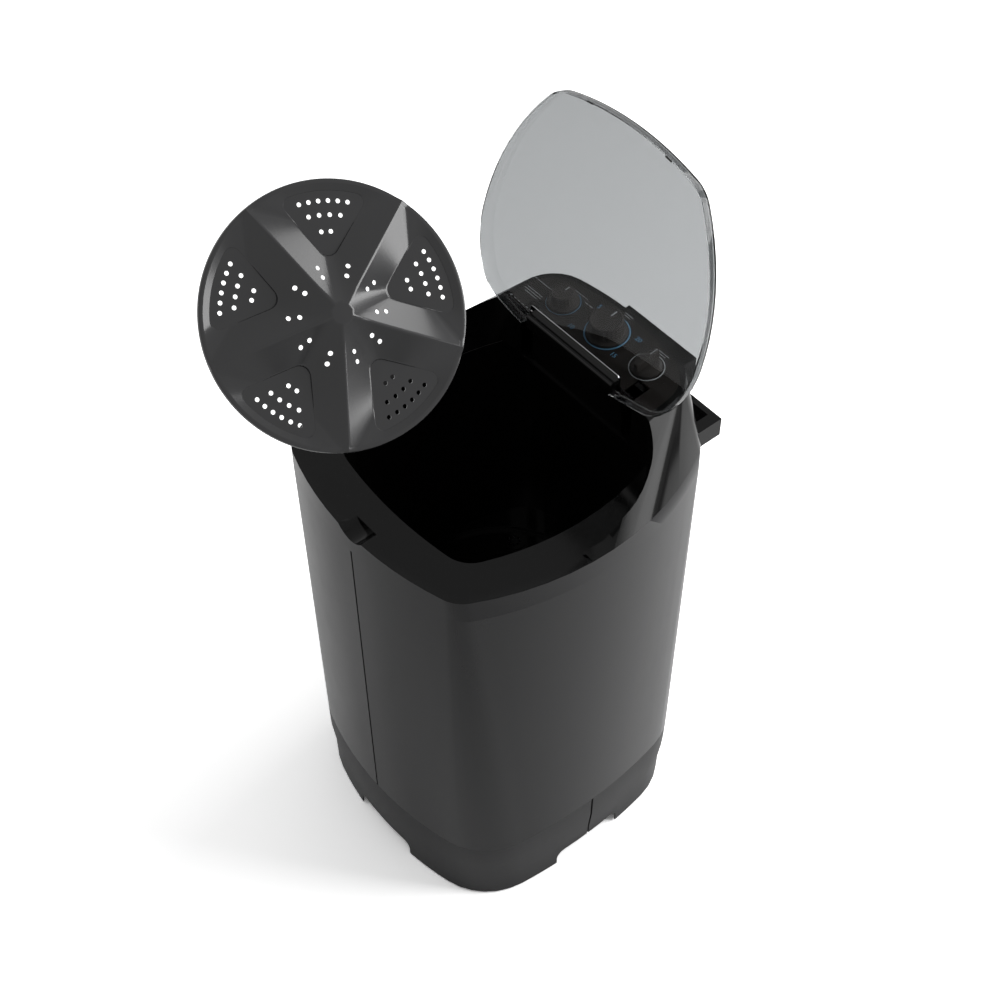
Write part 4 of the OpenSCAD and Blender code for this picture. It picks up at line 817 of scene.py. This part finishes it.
# %% Plain marks
# Each row holds the place of its middle, how many marks it has, their length and their pitch
ROWS = [(-0.161, -0.004, 7, 0.0045, 0.0068), (-0.158, -0.027, 1, 0.038, 0),
        (-0.158, -0.032, 1, 0.044, 0), (-0.158, -0.037, 1, 0.032, 0),
        (-0.155, -0.062, 6, 0.006, 0.0105), (-0.095, 0.026, 4, 0.0055, 0.0085),
        (-0.069, 0.019, 2, 0.008, 0.0115), (-0.002, 0.053, 1, 0.020, 0),
        (-0.002, 0.0485, 1, 0.014, 0), (0.103, 0.036, 1, 0.026, 0),
        (0.103, 0.0315, 1, 0.018, 0)]
white_print = [dash(x + (i - (count - 1) / 2) * pitch, y, length)
               for x, y, count, length, pitch in ROWS for i in range(count)]
BLUE_SPOTS = [(-0.053, 0.030), (-0.053, -0.036), (0.046, -0.027), (0.050, 0.027)]
blue_print = [number(str(5 * i), x, y) for i, (x, y) in enumerate(BLUE_SPOTS, 1)]
mark_count = len(white_print) + len(blue_print)
settle(joined("white_print", white_print), "chassis", "dial_rings", white_ink)
settle(joined("blue_print", blue_print), "chassis", "dial_rings", blue_ink)
print("print:", mark_count, "marks")

# %% [markdown]
# ## Floor, light and background
#
# A plain pale floor catches the soft shadow. What the camera sees past it is white, and so is
# what gloss and the clear lid show, by the light path of each ray.

# %% Floor
# The floor's colour for light that lands on it, for rays from gloss, and for what is seen
# straight or through the lid
FLOOR_SIDE, FLOOR_LIT, FLOOR_IN_GLOSS, FLOOR_SEEN = 14, "#c8c8c8", 1.08, 1.9


def brightest(tree, *outputs):
    """The largest of several outputs, such as the light path's kinds of ray."""
    result = outputs[0]
    for output in outputs[1:]:
        result = add(tree, "ShaderNodeMath", {"operation": "MAXIMUM"}, i0=result,
                     i1=output).outputs[0]
    return result


bpy.ops.object.select_all(action="DESELECT")
bpy.ops.mesh.primitive_plane_add(size=FLOOR_SIDE)
floor = bpy.context.object
floor.name = "floor"
floor_paint, tree, shader = surface("pale_floor", "#e6e6e6", Roughness=0.6,
                                    Specular_IOR_Level=0.1)
path = add(tree, "ShaderNodeLightPath").outputs
seen = brightest(tree, path["Is Camera Ray"], path["Is Transmission Ray"])
in_gloss = add(tree, "ShaderNodeMix", {"data_type": "RGBA"}, i0=path["Is Glossy Ray"])
in_gloss.inputs[6].default_value = linear(FLOOR_LIT)
in_gloss.inputs[7].default_value = [FLOOR_IN_GLOSS] * 3 + [1]
tone = add(tree, "ShaderNodeMix", {"data_type": "RGBA"}, i0=seen, i6=in_gloss.outputs[2])
tone.inputs[7].default_value = [FLOOR_SEEN] * 3 + [1]
tree.links.new(tone.outputs[2], shader.inputs["Base Color"])
wear(floor, floor_paint)

# %% World
WORLD_LIGHT, WORLD_SEEN = 0.45, 1.0
world = bpy.data.worlds.new("studio")
bpy.context.scene.world = world
world.use_nodes = True
tree = world.node_tree
path = add(tree, "ShaderNodeLightPath").outputs
seen = brightest(tree, path["Is Camera Ray"], path["Is Glossy Ray"],
                 path["Is Transmission Ray"])
level = add(tree, "ShaderNodeMapRange", Value=seen, To_Min=WORLD_LIGHT, To_Max=WORLD_SEEN)
back = tree.nodes["Background"]
back.inputs["Color"].default_value = (1, 1, 1, 1)
tree.links.new(level.outputs[0], back.inputs["Strength"])

# %% Lamps


def lamp(name, place, target, size, power):
    """A square soft lamp that looks at a target."""
    data = bpy.data.lights.new(name, "AREA")
    data.size = size
    data.energy = power
    thing = bpy.data.objects.new(name, data)
    bpy.context.scene.collection.objects.link(thing)
    thing.location = place
    thing.rotation_euler = (Vector(target) - Vector(place)).to_track_quat("-Z", "Y").to_euler()


# The key comes from the back right, the fill from the front left, and the back lamp lights the
# upper flanks of the disc's ribs
lamp("key", (2.5, 2.9, 2.3), (0, 0, 0.7), 2.3, 150)
lamp("fill", (-2.4, -1.6, 2.6), (0, 0, 0.8), 2.0, 18)
lamp("back", (-0.05, 2.5, 3.05), (0, -0.3, 1.45), 1.3, 26)
bpy.context.scene.view_settings.view_transform = "Standard"
